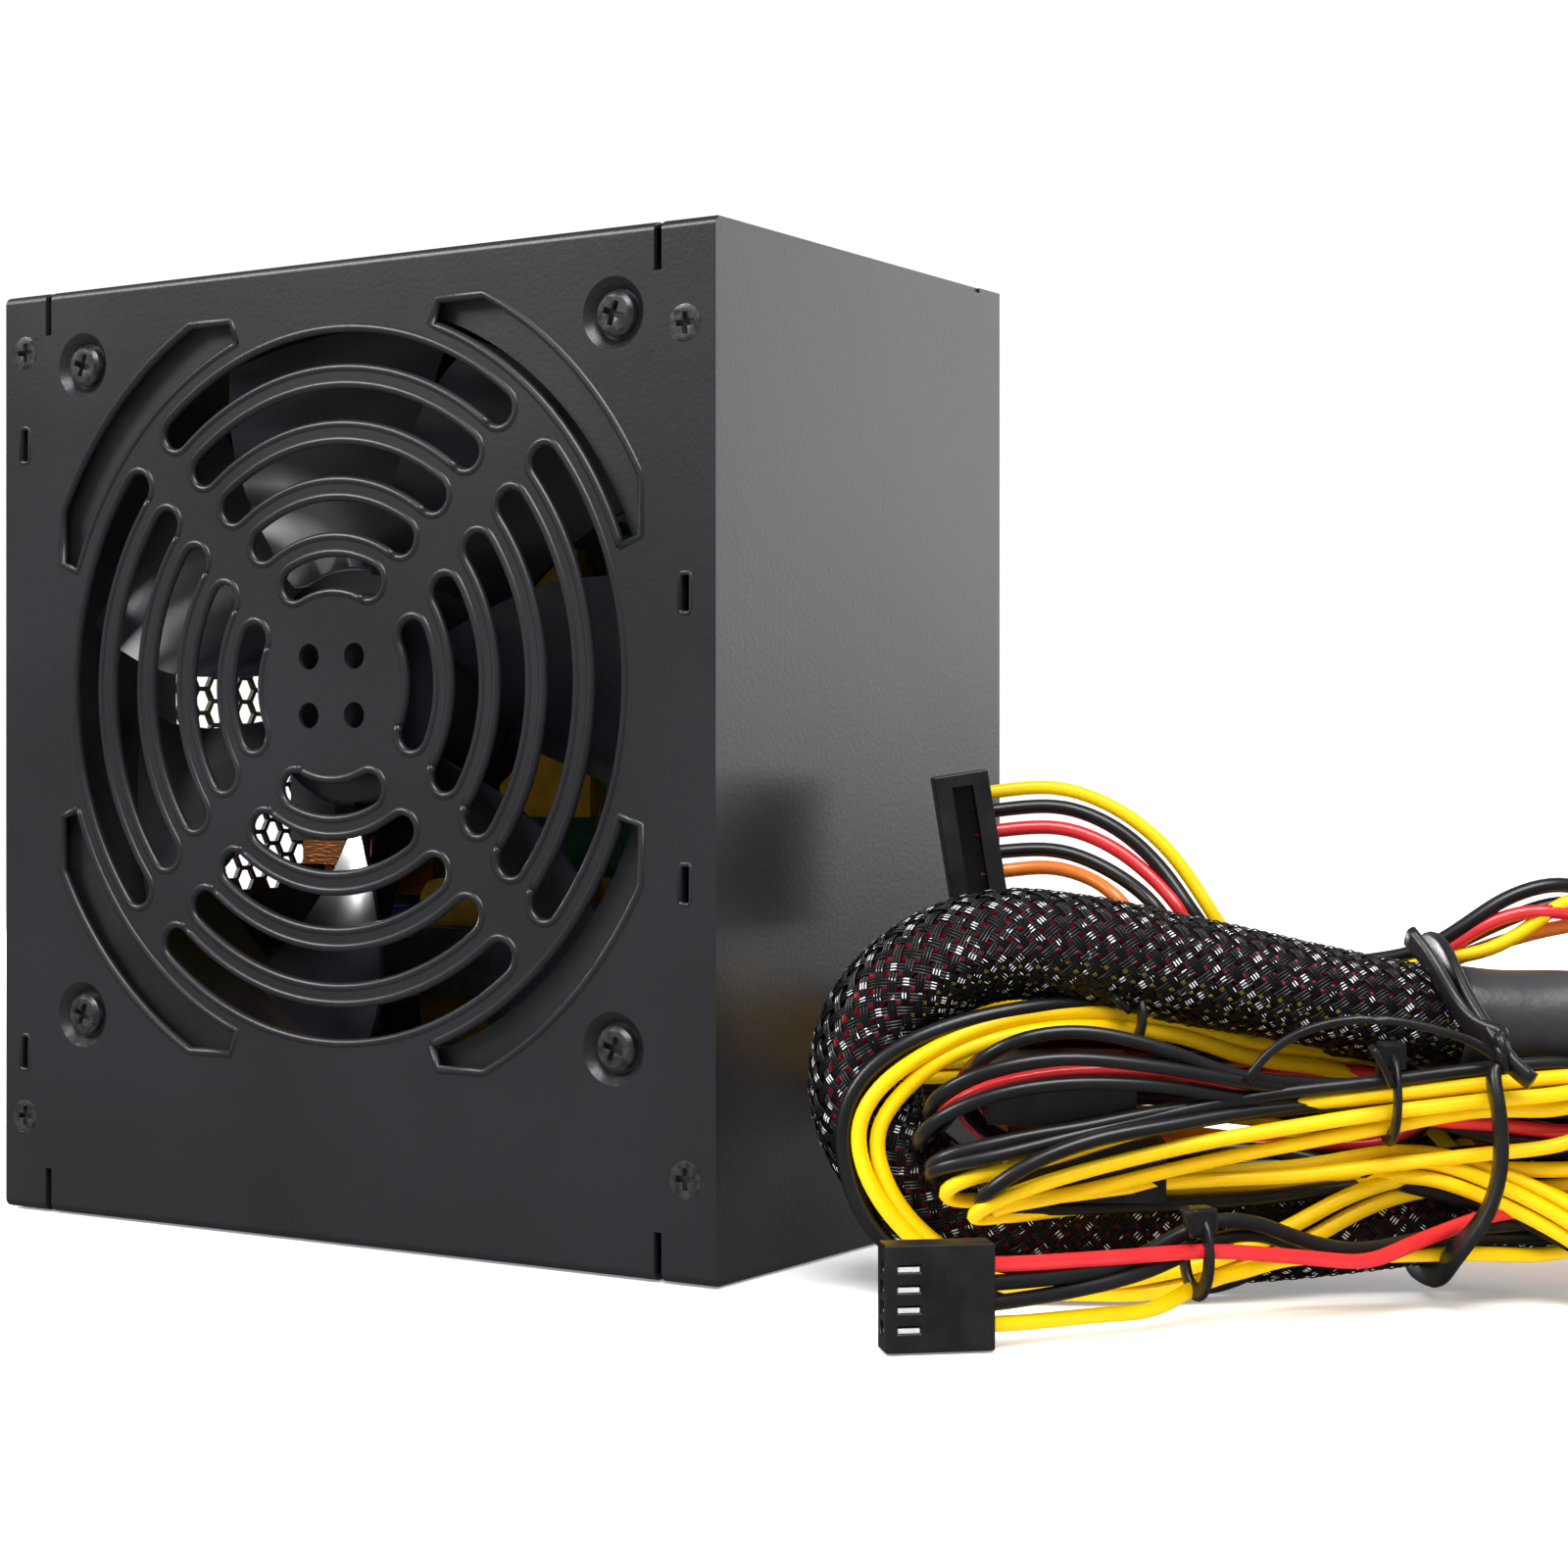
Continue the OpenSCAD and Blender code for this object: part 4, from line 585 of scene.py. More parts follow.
graphics_lead, graphics_middle = lead_of(
    "graphics_lead", (4.6, -3.2),
    ((121, 36, 22), (133, 33, 34), (140, 25, 42), (142, 14, 42), (138, 2, 38), (128, -7, 33), (116, -10, 30)),
    [([(102.5, -12, 31), (91, -13, 30), (77.5, -13.5, 28.5), (64, -13.5, 27), (54, -14, 25.5),
       (43.5, -14.5, 23.5),
       (34.5, -15.4, 20.8), (26, -16.4, 18.6), (20, -16.8, 17.2), (17.4, -16, 15.6), (19, -13, 14),
       (27, -11, 14),
       (37.5, -9, 15.5), (52, -8, 17), (66, -8, 18)], wire_yellow),
     ([(102.5, -13.5, 29), (91, -14.5, 28), (77, -15.5, 26.4), (64, -16, 24.4), (53.5, -16.5, 22.6),
       (43.5, -17, 20.4),
       (34, -18, 18), (26.5, -18.5, 15.5), (22.5, -18.5, 13.5), (21, -17, 12.2), (23.5, -14, 11.8),
       (32, -11, 12.5),
       (41, -9, 14), (54, -8, 15), (68, -7, 15.5)], wire_yellow),
     ([(102.5, -11, 26.5), (91, -12, 26.4), (79.5, -13.4, 24.6), (67.5, -14, 22.4), (57, -14.5, 20.4),
       (48, -15, 18.4),
       (39.5, -15.5, 16.4), (31.5, -15.5, 14.6), (26, -15, 13.6), (23.5, -14, 12.6), (25, -11, 11.5),
       (33.5, -8, 12),
       (44.5, -6, 13), (56, -5, 13.5), (68, -5, 14)], wire_yellow),
     ([(103, -10.5, 32.6), (91, -12.2, 32), (77.5, -13.6, 30.4), (64, -14.6, 29), (55, -15.6, 27.6),
       (47, -16.6, 26),
       (38, -17.6, 24), (30, -18, 22), (23.5, -18, 20.4), (18, -16.6, 19.2), (15.6, -14, 18), (17, -11, 16.5),
       (26, -8.5, 17), (44, -6.5, 19), (62, -5, 20)], wire_black),
     ([(103.5, -8, 31), (91.5, -10.5, 30), (77.5, -12, 28), (64, -14, 26.8), (55.5, -16, 26),
       (47.5, -18, 24.8),
       (39.5, -19.4, 23.6), (34, -20, 22), (30, -20.2, 20.4), (26, -20.4, 18), (23, -19, 15.4),
       (22.4, -16, 14),
       (27, -12.5, 13), (42, -10.5, 13), (60, -10, 14)], wire_black),
     ([(103.5, -8, 21.5), (92, -9, 22.5), (78, -11, 27), (65.5, -13, 28), (57, -14.5, 27.5), (50, -16, 27),
       (43.5, -17, 26), (36.5, -17.5, 24.5), (30, -17.5, 23.5), (23.5, -17.5, 22), (18, -16.5, 20.5),
       (15.5, -14, 18.5), (18, -11, 17.5), (36, -8, 18), (58, -6, 17)], wire_black),
     ([(102.5, -12, 22), (91.5, -12.5, 20.6), (77.5, -13, 19), (64, -13, 17.4), (54, -13, 17),
       (45, -14, 16.4),
       (37, -15, 15.4), (29, -15, 14.4), (25.5, -13, 13.4), (30, -10.5, 13.4), (44, -9, 15), (58, -8, 16)],
      wire_yellow)],
    ((82, -9, 18), (94, -10, 15), (103, -11.5, 11), (108, -14, 8), (112, -22, 7), (118, -31, 6),
     (123, -34, 5), (128, -35, 5)),
    0.00105)
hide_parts("graphics_tail")

drive_lead, drive_middle = lead_of(
    "drive_lead", (0.6, 6.8),
    ((121, 32, 37), (131, 29, 40), (137, 21, 44), (138, 11, 42), (133, 2, 36), (124, -3, 30), (114, -5, 26)),
    [([(104, -5, 24.5), (92, -8, 27), (78, -11, 29.4), (68, -13.4, 30), (59, -15.6, 31), (53.5, -16.6, 32.6),
       (49, -17.4, 34.6), (43.5, -17.8, 36.2), (37.5, -18, 37.4), (31.5, -18, 37.2), (26, -17.6, 35.6),
       (22.6, -15.8, 33), (21.6, -11, 31), (22, -4, 30), (24, 4, 29)], wire_black),
     ([(104.5, -4, 22.5), (92, -7, 25.5), (78, -10, 28), (68, -13, 29), (59, -16, 30.4), (50, -18, 32.2),
       (43, -19, 33.3), (34, -19.5, 34), (26.5, -19.5, 33), (20.5, -18.5, 31), (17, -16.5, 28.5),
       (16, -13, 26),
       (17, -7, 25), (19, 0, 26), (22, 6, 27)], wire_black),
     ([(104, -6, 21), (92, -8, 24), (78, -11, 26.6), (67.5, -13, 27.2), (57, -15.5, 28.4), (48.5, -17.5, 30),
       (42, -18.5, 30.6), (34, -19, 30.6), (26, -19, 29.4), (19.5, -18, 27), (15.4, -15.6, 24),
       (14.6, -12, 21.5),
       (16, -5, 21), (19, 2, 23), (23, 8, 26)], wire_black),
     ([(103.5, -8, 23), (94.5, -9, 24), (84, -11, 25), (71, -11.6, 27), (60.5, -13.4, 28.8),
       (54, -14.6, 30.4),
       (49, -15.7, 31.8), (43.5, -16.2, 32.2), (37, -16.6, 32), (28.5, -16.6, 31), (22, -16, 29),
       (18.6, -14.4, 26.6),
       (18, -10, 25), (20, -2, 25), (23, 4, 26)], wire_red)],
    ((29, 9.5, 27.5), (36, 9.5, 28.6), (41, 7.2, 28.6)),
    0.00100)
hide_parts("cable_hank")

daisy_lead, daisy_middle = lead_of(
    "daisy_lead", None, ((34, 4.5, 28.6), (34.5, 7.4, 28.6), (39, 9, 28.8)),
    [([(50, 10 - d, 29 + u), (66, 9.8 - d, 30 + u), (80, 9.2 - d, 30 + u), (89, 8.6 - d, 25.4 + u * 0.3),
       (82, 8.6 - d, 19.6 - u * 0.6), (70, 9 - d, 18.8 - u), (56, 9.8 - d, 18.4 - u)], colour)
     for d, u, colour in ((0, 1.6, wire_black), (2.4, 2.0, wire_black), (0.4, -1.0, wire_yellow),
                          (3.0, -0.6, wire_red))],
    ((46, 9.6, 18), (41, 9, 18), (38.5, 7.4, 18), (38, 4.5, 18)), 0.00100)

floppy_lead, floppy_middle = lead_of(
    "floppy_lead", None,
    ((38, 4.5, 17.4), (38.5, 8, 17), (43, 11, 16.2), (56, 12, 15.6), (70, 12, 16.4), (84, 11, 19.5),
     (97, 9, 24),
     (107, 4, 27), (116, -3, 28), (121.5, -10, 26), (122, -14.5, 21), (117, -15, 16)),
    [([(103, -10, 13), (93, -12, 12.5), (84.5, -16, 10.5), (79, -19, 9), (74, -22, 7.5), (65.5, -25, 8.5),
       (52, -29, 10), (42, -33, 10), (32.5, -37, 10), (26, -40.5, 10.2), (22.8, -42.1, 10.4),
       (20, -42.8, 10.5)],
      wire_red),
     ([(102, -9, 11), (90, -12, 10.5), (79, -16, 9), (72, -19, 8.5), (64.5, -22, 10.5), (58.5, -24, 13),
       (52.5, -26, 13.5), (46, -29, 11), (40.5, -33, 9), (32.5, -37, 8), (26, -40.5, 8), (22.8, -42.1, 8),
       (20, -42.8, 8)], wire_black),
     ([(103, -7, 9), (88, -11, 9), (76, -15, 8), (66.5, -18, 8.5), (60, -21, 11), (53.5, -25, 11),
       (48, -28, 9),
       (42, -33, 7.5), (32.5, -37, 6), (26, -40.5, 5.6), (22.8, -42.1, 5.4), (20, -42.8, 5.4)], wire_black),
     ([(104, -8.5, 7), (88, -12, 7), (74, -14.5, 7), (63.5, -17, 7), (58.5, -20, 6), (53, -24, 5.5),
       (48.5, -27, 4), (45, -30, 2.5), (38.5, -33, 2.5), (31, -37, 2.5), (26, -40.5, 2.7), (22.8, -42.1, 2.9),
       (20, -42.8, 2.9)], wire_yellow)],
    None, 0.00105)
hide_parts("floppy_tail")

serial_drive_lead, serial_drive_middle = lead_of(
    "serial_drive_lead", (0.5, -6.9),
    ((121, 38, 18), (131, 39, 14), (141, 35, 10), (148, 26, 7), (149, 16, 6), (142, 9, 4.6), (130, 9.5, 4.2),
     (114, 11, 5), (98, 13.5, 7), (84, 16, 11), (70, 18, 15.5), (55, 18.2, 17.5), (41, 18.2, 17.5),
     (29, 18, 18.6),
     (22.6, 17.6, 24.6), (28.5, 17.6, 30.8), (41, 18, 32), (56, 18, 31.4), (72, 17.6, 31), (88, 16.6, 31.4),
     (100, 15.4, 31.6), (109, 14.2, 29.6), (113.5, 13.4, 24.4), (108, 13.2, 18.8), (97, 13.2, 17.6),
     (84, 13.2, 20), (70, 13.2, 23), (56, 13.2, 24.4), (43, 13.2, 24.4), (33, 13.2, 25.4), (27.5, 13.2, 30.6),
     (33, 13.2, 36), (43, 13.2, 37.2), (58, 13, 36), (74, 12.8, 35.6), (90, 12.8, 36), (104, 12.6, 37.4),
     (114, 12, 41), (118.5, 11, 46.5), (117, 9.5, 51)),
    [([(107.4, 8, 54.1), (102.6, 8, 50.4), (96, 8, 46.6), (89.2, 8.6, 45.4), (78, 11.5, 42.5),
       (68, 13.5, 41.5),
       (62.5, 14, 45), (58.8, 14, 50.2), (55.8, 16, 55.3), (51.8, 18, 60.9), (44.8, 20, 66.6),
       (36.4, 22, 69.7),
       (27.4, 23, 69.1), (23, 23, 68.4)], wire_yellow),
     ([(107.4, 8.4, 56.2), (99.1, 8, 54.4), (92.5, 8, 50), (87.1, 9, 46.6), (77, 12.5, 44.5),
       (67, 14.5, 43.4),
       (60, 15, 46), (55.5, 14, 51.1), (51, 18, 58), (45, 20, 63.6), (37, 22, 66.9), (28.2, 23, 66.4),
       (23.5, 23, 65.8)], wire_black),
     ([(107.4, 7.6, 52), (102, 7.8, 52.4), (95.6, 8, 50.4), (88.5, 9, 45.4), (78, 12, 40.6), (68, 14.5, 39.6),
       (58, 16, 45), (53.6, 14, 51.8), (50, 18, 56.3), (44.5, 20, 60.8), (37, 22, 63.8), (28.5, 23, 63.4),
       (24, 23, 62.8)], wire_red),
     ([(107.4, 9, 53.6), (98, 9, 50.6), (90, 10, 46.6), (78, 13.5, 41), (66, 15.5, 41), (55, 16, 46),
       (50, 14, 52.4), (47.5, 17.5, 55), (43, 20, 58), (36.5, 22, 60.5), (29, 23, 60.3), (24.5, 23, 59.8)],
      wire_black),
     ([(107.4, 10.4, 50), (98, 10.5, 47.6), (89, 11.5, 44), (77, 14.5, 39), (64, 17, 39.5), (51, 17, 46),
       (44.5, 14.5, 53.7), (42.5, 17.5, 55.5), (39, 20, 57.2), (34.5, 22, 58.1), (29.4, 23, 57.4),
       (25, 23, 57)], wire_orange)],
    None, 0.00105)
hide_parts("sata_tail")

# --- The case ---------------------------------------------------------------
# Two folded shells of 0.8 mm steel, powder coated near-black with a fine orange peel.
# The cover is punched with the fan grille, and its punched edges are rolled over.

case_paint = finish_of("case_powder_coat", (0.010, 0.010, 0.0125), (0.014, 0.014, 0.0175), (0.30, 0.38), 26,
                       1300,
                       0.22, 0.00012, Specular_IOR_Level=0.45)
dress(case_paint, "cover", "chassis", "vent_panel")
round_edges(0.00032, "cover")
round_edges(0.00020, "chassis")

# The punched edges of the grille, rolled back by the press: a rounded bead of the same
# sheet along each opening, and along the four slots for the chassis tabs.
fan_box_low, fan_box_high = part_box("fan_frame")
FAN_CENTRE = ((fan_box_low[0] + fan_box_high[0]) / 2, (fan_box_low[2] + fan_box_high[2]) / 2)
FACE_Y = -0.043
BEAD_RADIUS, BEAD_SETBACK, BEAD_INSET = 0.00072, 0.00042, 0.0003
RING_FIRST, RING_STEP, RING_COUNT, SLOT_HALF, SPOKE_HALF = 0.0173, 0.00853, 5, 0.00275, 0.0031


def arc_points(radius, start, end, count, centre=(0, 0)):
    """Points on an arc, angles in radians."""
    return [(centre[0] + radius * math.cos(start + (end - start) * k / count),
             centre[1] + radius * math.sin(start + (end - start) * k / count)) for k in range(count + 1)]


openings = []
for ring in range(RING_COUNT):
    mid = RING_FIRST + RING_STEP * ring
    end = math.pi / 4 - math.asin((SPOKE_HALF + SLOT_HALF) / mid)
    half, many = SLOT_HALF + BEAD_INSET, 14 + ring * 8
    openings.append(
        arc_points(mid - half, -end, end, many)
        + arc_points(half, end + math.pi, end, 10, (mid * math.cos(end), mid * math.sin(end)))[1:]
        + arc_points(mid + half, end, -end, many + 4)[1:]
        + arc_points(half, -end, -end - math.pi, 10, (mid * math.cos(end), -mid * math.sin(end)))[1:])
inner = RING_FIRST + RING_STEP * (RING_COUNT - 1) + SLOT_HALF + 0.003 - BEAD_INSET
outer, clip = inner + 0.0068 + 2 * BEAD_INSET, 0.057 + BEAD_INSET
low_ray, high_ray, meet = math.radians(19.7), math.radians(70.3), math.acos(clip / outer)
openings.append(
    arc_points(inner, low_ray, high_ray, 40)
    + [(clip / math.tan(high_ray), clip), (clip * math.tan(meet), clip)]
    + arc_points(outer, math.pi / 2 - meet, meet, 30)[1:]
    + [(clip, clip * math.tan(low_ray)), (inner * math.cos(low_ray), inner * math.sin(low_ray))])
rim_lines = []
for turn in range(4):
    for opening in openings:
        rim_lines.append([
            Vector((FAN_CENTRE[0] + x * math.cos(turn * math.pi / 2) - z * math.sin(turn * math.pi / 2),
                    FACE_Y + BEAD_SETBACK,
                    FAN_CENTRE[1] + x * math.sin(turn * math.pi / 2) + z * math.cos(turn * math.pi / 2)))
            for x, z in opening])
grille_rims = wire_mesh("grille_rolled_edges", [(line, case_paint) for line in rim_lines], BEAD_RADIUS, 10)
TAB_PLACES = ((-0.0656, 0.1253), (-0.0656, 0.0256), (0.0648, 0.0972), (0.0648, 0.0562))
TAB_OUTLINE = ((-0.0010, -0.0024), (-0.0006, -0.0029), (0.0006, -0.0029), (0.0010, -0.0024), (0.0010, 0.0024),
               (0.0006, 0.0029), (-0.0006, 0.0029), (-0.0010, 0.0024), (-0.0010, -0.0024))
TAB_BEAD_RADIUS, TAB_BEAD_SETBACK = 0.00045, 0.0003
tab_rims = wire_mesh("tab_slot_edges", [
    ([Vector((x + dx, FACE_Y + TAB_BEAD_SETBACK, z + dz)) for dx, dz in TAB_OUTLINE], case_paint)
    for x, z in TAB_PLACES], TAB_BEAD_RADIUS, 10)

# --- Case and fan screws ------------------------------------------------------
# Black-oxide steel: countersunk screws hold the cover to the chassis, and pan heads hold
# the fan. Handling leaves the crosses and the rims a little brighter.

screw_black = finish_of("black_oxide", (0.020, 0.020, 0.023), (0.075, 0.075, 0.082), (0.22, 0.42), 700, 3000,
                        0.2, 0.0001, metal=0.6)
dress(screw_black, "case_screws", "fan_screws")
round_edges(0.00022, "case_screws", "fan_screws")

# --- The fan -------------------------------------------------------------------
# Frame and blades are moulded in black glass-filled polyester, the blades polished. The
# motor under the hub has a ring magnet, wound poles, and a small driver board.

fan_black = finish_of("fan_frame_moulding", (0.006, 0.006, 0.007), (0.012, 0.012, 0.014), (0.38, 0.52), 60,
                      1500, 0.15)
blade_black = finish_of("fan_blade_moulding", (0.008, 0.008, 0.012), (0.014, 0.014, 0.020), (0.24, 0.34), 45,
                        900,
                        0.05, 0.0001)
fan_magnet_grey = finish_of("bonded_magnet", (0.05, 0.046, 0.042), (0.09, 0.085, 0.08), (0.5, 0.65), 300,
                            2200, 0.2)
enamelled_copper = finish_of("enamelled_copper", (0.40, 0.13, 0.035), (0.66, 0.25, 0.08), (0.22, 0.36), 260,
                             2600,
                             0.5, 0.0004, metal=0.7, coat=0.4, stretch=(0.25, 1, 1))
solder_mask = finish_of("solder_mask", (0.010, 0.085, 0.030), (0.022, 0.150, 0.055), (0.28, 0.42), 420, 1600,
                        0.25,
                        0.0002, coat=0.3)
sintered_bronze = finish_of("sintered_bronze", (0.50, 0.32, 0.14), (0.66, 0.46, 0.22), (0.35, 0.5), 500,
                            2400, 0.2,
                            metal=0.9)
turned_steel = finish_of("turned_steel", (0.50, 0.50, 0.52), (0.68, 0.68, 0.70), (0.18, 0.32), 400, 2400,
                         0.15,
                         0.0001, metal=1.0, stretch=(1, 0.2, 1))
dress(fan_black, "fan_frame")
dress(blade_black, "fan_rotor")
dress(fan_magnet_grey, "fan_magnet")
dress(enamelled_copper, "fan_stator")
dress(solder_mask, "fan_circuit")
dress(sintered_bronze, "fan_bearing")
dress(turned_steel, "fan_shaft")
dress(wire_black, "fan_lead")
round_edges(0.00025, "fan_frame", "fan_rotor")

# --- The board, its sheet and its fasteners ---------------------------------------
# A green board on brass spacers, with an insulating sheet between it and the back panel.
# A small upright board beside the transformers holds the control circuit.

sheet_film = finish_of("insulating_film", (0.62, 0.60, 0.54), (0.74, 0.72, 0.66), (0.30, 0.45), 30, 700, 0.05)
natural_nylon = finish_of("natural_nylon", (0.66, 0.63, 0.55), (0.78, 0.75, 0.68), (0.34, 0.46), 120, 900,
                          0.08,
                          Subsurface_Weight=0.1)
bright_brass = finish_of("bright_brass", (0.60, 0.42, 0.14), (0.78, 0.58, 0.24), (0.18, 0.32), 300, 2200, 0.1,
                         metal=1.0)
dress(solder_mask, "main_board", "control_board")
dress(sheet_film, "insulating_sheet")
dress(natural_nylon, "fan_plug")
dress(bright_brass, "board_spacers")
dress(turned_steel, "board_screws", "device_screws", "earth_screw")

# --- Heat sinks and the devices on them ---------------------------------------------
# Extruded aluminium plates, drawn along their height, with moulded power devices
# screwed to them.

drawn_aluminium = finish_of("drawn_aluminium", (0.52, 0.53, 0.55), (0.70, 0.71, 0.73), (0.28, 0.46), 90,
                            1400, 0.35,
                            0.0002, metal=1.0, stretch=(1, 0.06, 1))
moulded_epoxy = finish_of("moulded_epoxy", (0.014, 0.014, 0.015), (0.034, 0.034, 0.036), (0.48, 0.62), 400,
                          2600, 0.2)
dress(drawn_aluminium, "primary_heatsink", "secondary_heatsink")
dress(moulded_epoxy, "switching_transistors", "output_rectifiers", "bridge_rectifier")

# --- Transformers and chokes ------------------------------------------------------
# Sintered cores, windings wrapped in yellow polyester tape, and bare enamelled wire
# on the chokes.

grey_ferrite = finish_of("grey_ferrite", (0.045, 0.045, 0.052), (0.085, 0.085, 0.094), (0.42, 0.58), 350,
                         2400, 0.3,
                         metal=0.2)
wrapped_tape = finish_of("wrapped_tape", (0.52, 0.27, 0.010), (0.72, 0.42, 0.03), (0.22, 0.38), 160, 1200,
                         0.4,
                         0.0004, coat=0.5, stretch=(1, 3.5, 1))
dress(grey_ferrite, "transformer_core")
dress(wrapped_tape, "transformer_winding", "driver_transformer", "standby_transformer")
dress(enamelled_copper, "output_choke", "mains_filter_choke")

# --- Capacitors and the fuse --------------------------------------------------------
# Shrunk sleeves over drawn cans, moulded film boxes, dipped discs, and a glass fuse.

sleeve_dark = finish_of("can_sleeve_dark", (0.012, 0.013, 0.026), (0.024, 0.026, 0.046), (0.18, 0.30), 80,
                        700, 0.15,
                        0.0003, coat=0.4)
sleeve_green = finish_of("can_sleeve_green", (0.004, 0.16, 0.12), (0.012, 0.27, 0.20), (0.18, 0.30), 80, 700,
                         0.15,
                         0.0003, coat=0.4)
film_yellow = finish_of("film_box_yellow", (0.66, 0.42, 0.03), (0.82, 0.56, 0.07), (0.24, 0.40), 140, 1200,
                        0.12,
                        coat=0.3)
dipped_blue = finish_of("dipped_blue", (0.018, 0.06, 0.40), (0.04, 0.11, 0.58), (0.18, 0.32), 240, 900, 0.4,
                        0.0004,
                        coat=0.5)
fuse_glass = finish_of("fuse_glass", (0.78, 0.82, 0.80), (0.88, 0.90, 0.89), (0.04, 0.10), 200, 900, 0.03,
                       Transmission_Weight=0.8, IOR=1.47)
dress(sleeve_dark, "bulk_capacitors")
dress(sleeve_green, "output_capacitors")
dress(film_yellow, "film_capacitors")
dress(dipped_blue, "safety_capacitors")
dress(fuse_glass, "mains_fuse")

# --- The mains inlet, the switch and their wires ----------------------------------
# Moulded black nylon with plated blades, and a rocker polished by use. Brown-sleeved
# wires go from them to the board.

moulded_nylon = finish_of("moulded_nylon", (0.007, 0.007, 0.008), (0.013, 0.013, 0.014), (0.34, 0.50), 130,
                          2000,
                          0.18, 0.00015)
plated_blade = finish_of("plated_blade", (0.62, 0.61, 0.58), (0.76, 0.75, 0.72), (0.14, 0.28), 300, 2400, 0.1,
                         metal=1.0, stretch=(0.2, 1, 1))
mains_brown = finish_of("mains_brown", (0.16, 0.055, 0.020), (0.24, 0.085, 0.035), (0.28, 0.40), 90, 900,
                        0.08,
                        coat=0.2)
dress(moulded_nylon, "inlet_body", "switch_housing", "switch_rocker")
dress(plated_blade, "inlet_pins", "switch_terminals")
dress(mains_brown, "mains_wires")
round_edges(0.00030, "inlet_body", "switch_housing", "switch_rocker")

# --- The bush and the wires inside it ------------------------------------------------
# A soft black bush keeps the leads off the edge of the sheet, and the wires come to it
# from the board in one bundle.

bush_black = finish_of("bush_rubber_black", (0.008, 0.008, 0.009), (0.017, 0.017, 0.018), (0.52, 0.70), 120,
                       1500, 0.3)
dress(bush_black, "lead_bush")
dress(wire_yellow, "output_wires")
round_edges(0.00040, "lead_bush")

# --- The plugs --------------------------------------------------------------------
# Black nylon housings with square cells and sprung latches, satin from the mould.

plug_black = finish_of("plug_nylon", (0.005, 0.005, 0.006), (0.012, 0.012, 0.013), (0.28, 0.42), 220, 2400,
                       0.15,
                       0.00012)
PLUGS = ("main_connector", "processor_connector", "graphics_connector", "sata_connector",
         "floppy_connector", "drive_connectors")
dress(plug_black, *PLUGS)
round_edges(0.00022, *PLUGS)

# --- The ties ---------------------------------------------------------------------
# A plastic-covered wire tie, twisted over the sleeve, holds the hank. Small nylon cable
# ties, each a ribbed strap drawn through a square head, hold the leads' wires together.

TIE_HALF_WIDTH, TIE_HALF_THICK, TIE_CORE_RADIUS, STRAP_SIDES = 0.0019, 0.0009, 0.0006, 12
tie_plastic = finish_of("tie_plastic", (0.005, 0.005, 0.006), (0.012, 0.012, 0.013), (0.30, 0.42), 160, 1800,
                        0.2,
                        0.00015)


def flat_strap(name, lines, half_width, half_thick, facing):
    """Round-edged flat straps swept along lines, their broad side square to facing."""
    points, faces = [], []
    for line in lines:
        first = len(points)
        for here, (ahead, _, _) in zip(line, carried_frames(line)):
            broad = ahead.cross(facing).cross(ahead).cross(ahead).normalized()
            thin = ahead.cross(broad)
            for i in range(STRAP_SIDES):
                a = math.tau * i / STRAP_SIDES
                points.append(here + broad * half_width * math.copysign(abs(math.cos(a)) ** 0.6, math.cos(a))
                              + thin * half_thick * math.copysign(abs(math.sin(a)) ** 0.8, math.sin(a)))
        faces += closed_faces(len(line), STRAP_SIDES, first)
    piece = new_piece(name, points, faces, [tie_plastic])
    return piece


hank_axis = HANK_TURN @ Vector((1, 0, 0))
knot_turns = [(92.2 + 1.6 * math.cos(k * 1.9), -17.5 + 1.5 * math.sin(k * 1.9),
               36.4 - k * 0.42) for k in range(9)]
twisted_tie = flat_strap("twisted_tie", [
    smooth_line(hank_points([
        (82.8, -3.6, 49.4), (85.4, -7.4, 45.4), (87.7, -9.6, 40.6), (90, -13.5, 37.2), *knot_turns,
        (91.4, -19, 28.6), (91.6, -19.4, 18.9), (89.6, -19.4, 12.9), (86.4, -17.6, 8.4), (85.5, -12, 4.6),
        (85.5, 0, 2.6), (85.5, 12, 3.2), (86, 19.4, 9), (86.5, 20.4, 22), (87, 19.6, 36), (87.5, 13, 45.6),
        (87.5, 4, 47.8), (88, -4, 46.2), (89.2, -9.4, 41.4), (91, -14, 37.2), (92.4, -17, 34.6),
        (94.4, -18.4, 32), (96, -19, 31)]), 0.0012)],
    TIE_HALF_WIDTH, TIE_HALF_THICK, hank_axis)
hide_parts("hank_tie")
# Its bare wire end springs away over the hank.
flat_strap("twisted_tie_free_end", [smooth_line(hank_points([
    (92, -17.4, 33.6), (89.8, -18.4, 35.6), (85.2, -18.8, 37.4), (76.6, -18.8, 39.2), (69.9, -18.6, 38.9),
    (63.3, -18.2, 36.4), (60, -17.8, 33.4), (58.4, -17.6, 31.0)]), 0.0012)],
    TIE_CORE_RADIUS, TIE_CORE_RADIUS, hank_axis)


CABLE_TIE_HALF_WIDTH, CABLE_TIE_HALF_THICK, CABLE_TIE_HEAD = 0.0012, 0.0005, 0.0036


def bevel_edges(width, segments):
    """Bevels every edge of the active box."""
    bpy.ops.object.mode_set(mode="EDIT")
    bpy.ops.mesh.select_all(action="SELECT")
    bpy.ops.mesh.bevel(offset=width, segments=segments, affect="EDGES")
    bpy.ops.object.mode_set(mode="OBJECT")


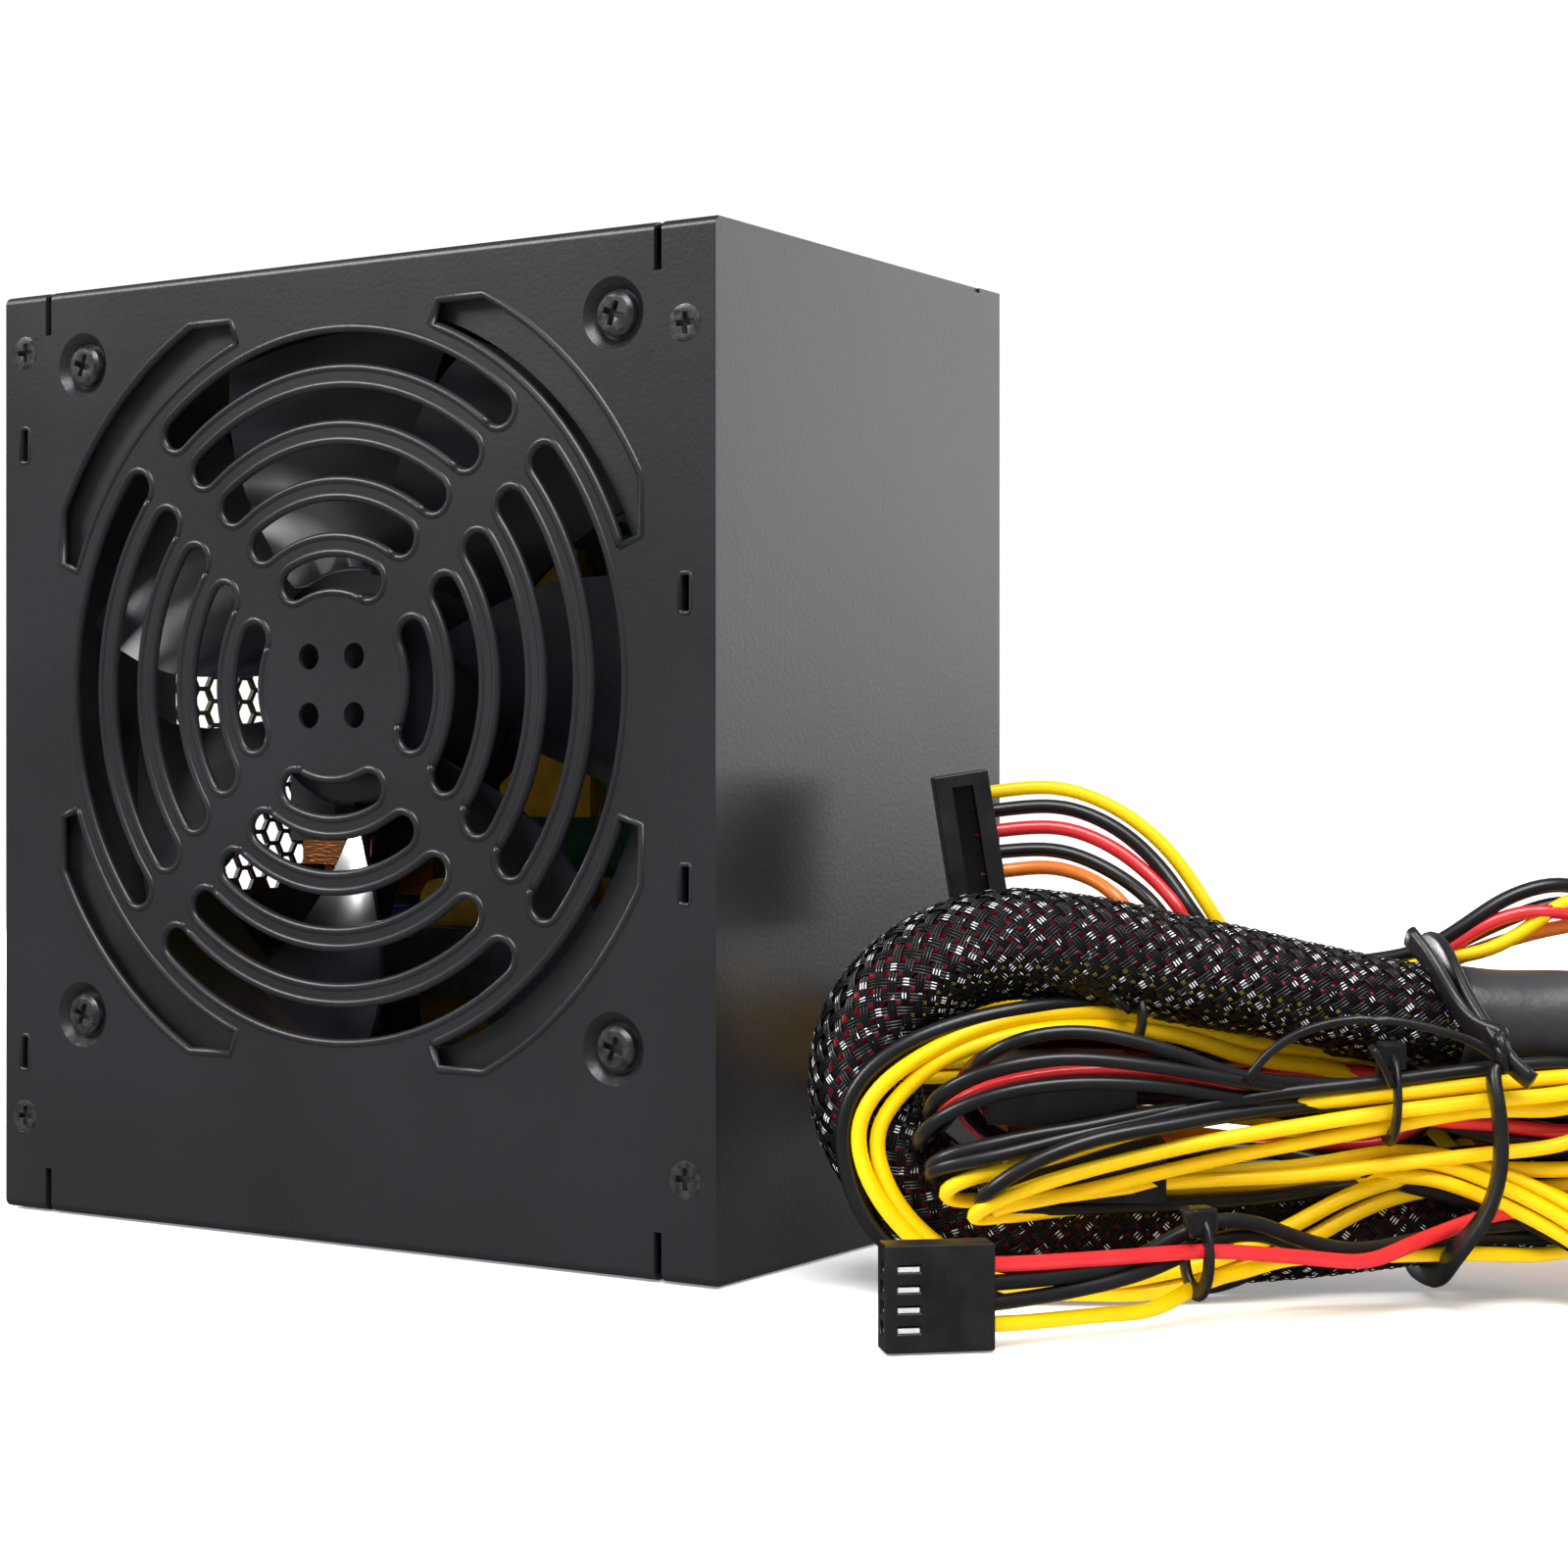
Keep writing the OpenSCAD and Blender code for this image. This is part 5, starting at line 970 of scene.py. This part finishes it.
def cable_tie(name, middle, ring_axis, half_across, half_up, tail):
    """A strap ring in hank millimetres round a bundle, its head, and the cut tail."""
    axis = (HANK_TURN @ Vector(ring_axis)).normalized()
    across = axis.cross(UP).normalized()
    centre = hank_points([middle])[0]
    ring = []
    for k in range(41):
        a = math.tau * (k / 40 + 0.2)
        ring.append(centre + across * half_across * 0.001 * math.cos(a)
                    + Vector((0, 0, half_up * 0.001 * math.sin(a))))
    flat_strap(name, [ring, smooth_line(hank_points(tail), 0.0008)],
               CABLE_TIE_HALF_WIDTH, CABLE_TIE_HALF_THICK, axis)
    bpy.ops.object.select_all(action="DESELECT")
    bpy.ops.mesh.primitive_cube_add(size=CABLE_TIE_HEAD, location=ring[0],
                                    rotation=(0, 0, math.atan2(axis.y, axis.x)))
    head = bpy.context.object
    head.name = name + "_head"
    bevel_edges(0.0005, 2)
    bpy.ops.object.transform_apply(location=True, rotation=True, scale=True)
    head.data.materials.append(tie_plastic)
    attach(head, "case")


cable_tie("wire_tie_floppy", (50.5, -27.2, 9.2), (1, 0.35, 0), 3.6, 4.9,
          ((49.4, -31, 12.6), (48.8, -32, 14.2), (48.4, -32.4, 16)))
cable_tie("wire_tie_graphics", (78, -13.2, 28.6), (1, 0.05, 0), 5.4, 5.8,
          ((77.4, -18.6, 30.6), (76, -19.4, 33.4), (74.6, -19.8, 35.6)))
cable_tie("wire_tie_processor", (44.5, -0.8, 38.2), (1, 0.25, -0.1), 5.0, 3.6,
          ((43.8, -5.4, 39.4), (42.6, -6.2, 40.4), (41.6, -6.6, 41.2)))

# The four box contacts of the small plug: tinned strip that shows in its slots.
FLOPPY_CORNER, FLOPPY_TURN = (0.1125, -0.0695), math.radians(42)
CONTACT_PITCH, CONTACT_MIDDLE_HEIGHT = 0.00254, 0.0067
tinned_strip = finish_of("tinned_strip", (0.74, 0.74, 0.74), (0.88, 0.88, 0.88), (0.30, 0.45), 900, 3000,
                         0.2, 0.0001,
                         metal=0.35)
contact_parts = []
for row in range(4):
    level = (row - 1.5) * CONTACT_PITCH + CONTACT_MIDDLE_HEIGHT
    for low, high in (((0.0004, 0.0015, level - 0.00075), (0.0066, 0.0033, level - 0.00035)),
                      ((0.0016, 0.0002, level - 0.00045), (0.0044, 0.0006, level + 0.0002))):
        bpy.ops.object.select_all(action="DESELECT")
        bpy.ops.mesh.primitive_cube_add(size=1)
        strip = bpy.context.object
        strip.dimensions = [b - a for a, b in zip(low, high)]
        strip.location = [(a + b) / 2 for a, b in zip(low, high)]
        bpy.ops.object.transform_apply(location=True, rotation=True, scale=True)
        bevel_edges(0.00007, 1)
        contact_parts.append(strip)
bpy.ops.object.select_all(action="DESELECT")
for part in contact_parts:
    part.select_set(True)
bpy.context.view_layer.objects.active = contact_parts[0]
bpy.ops.object.join()
floppy_contacts = bpy.context.object
floppy_contacts.name = "floppy_contacts"
floppy_contacts.rotation_euler = (0, 0, FLOPPY_TURN)
floppy_contacts.location = (*FLOPPY_CORNER, 0)
bpy.ops.object.transform_apply(location=True, rotation=True, scale=True)
floppy_contacts.data.materials.append(tinned_strip)
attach(floppy_contacts, "case")
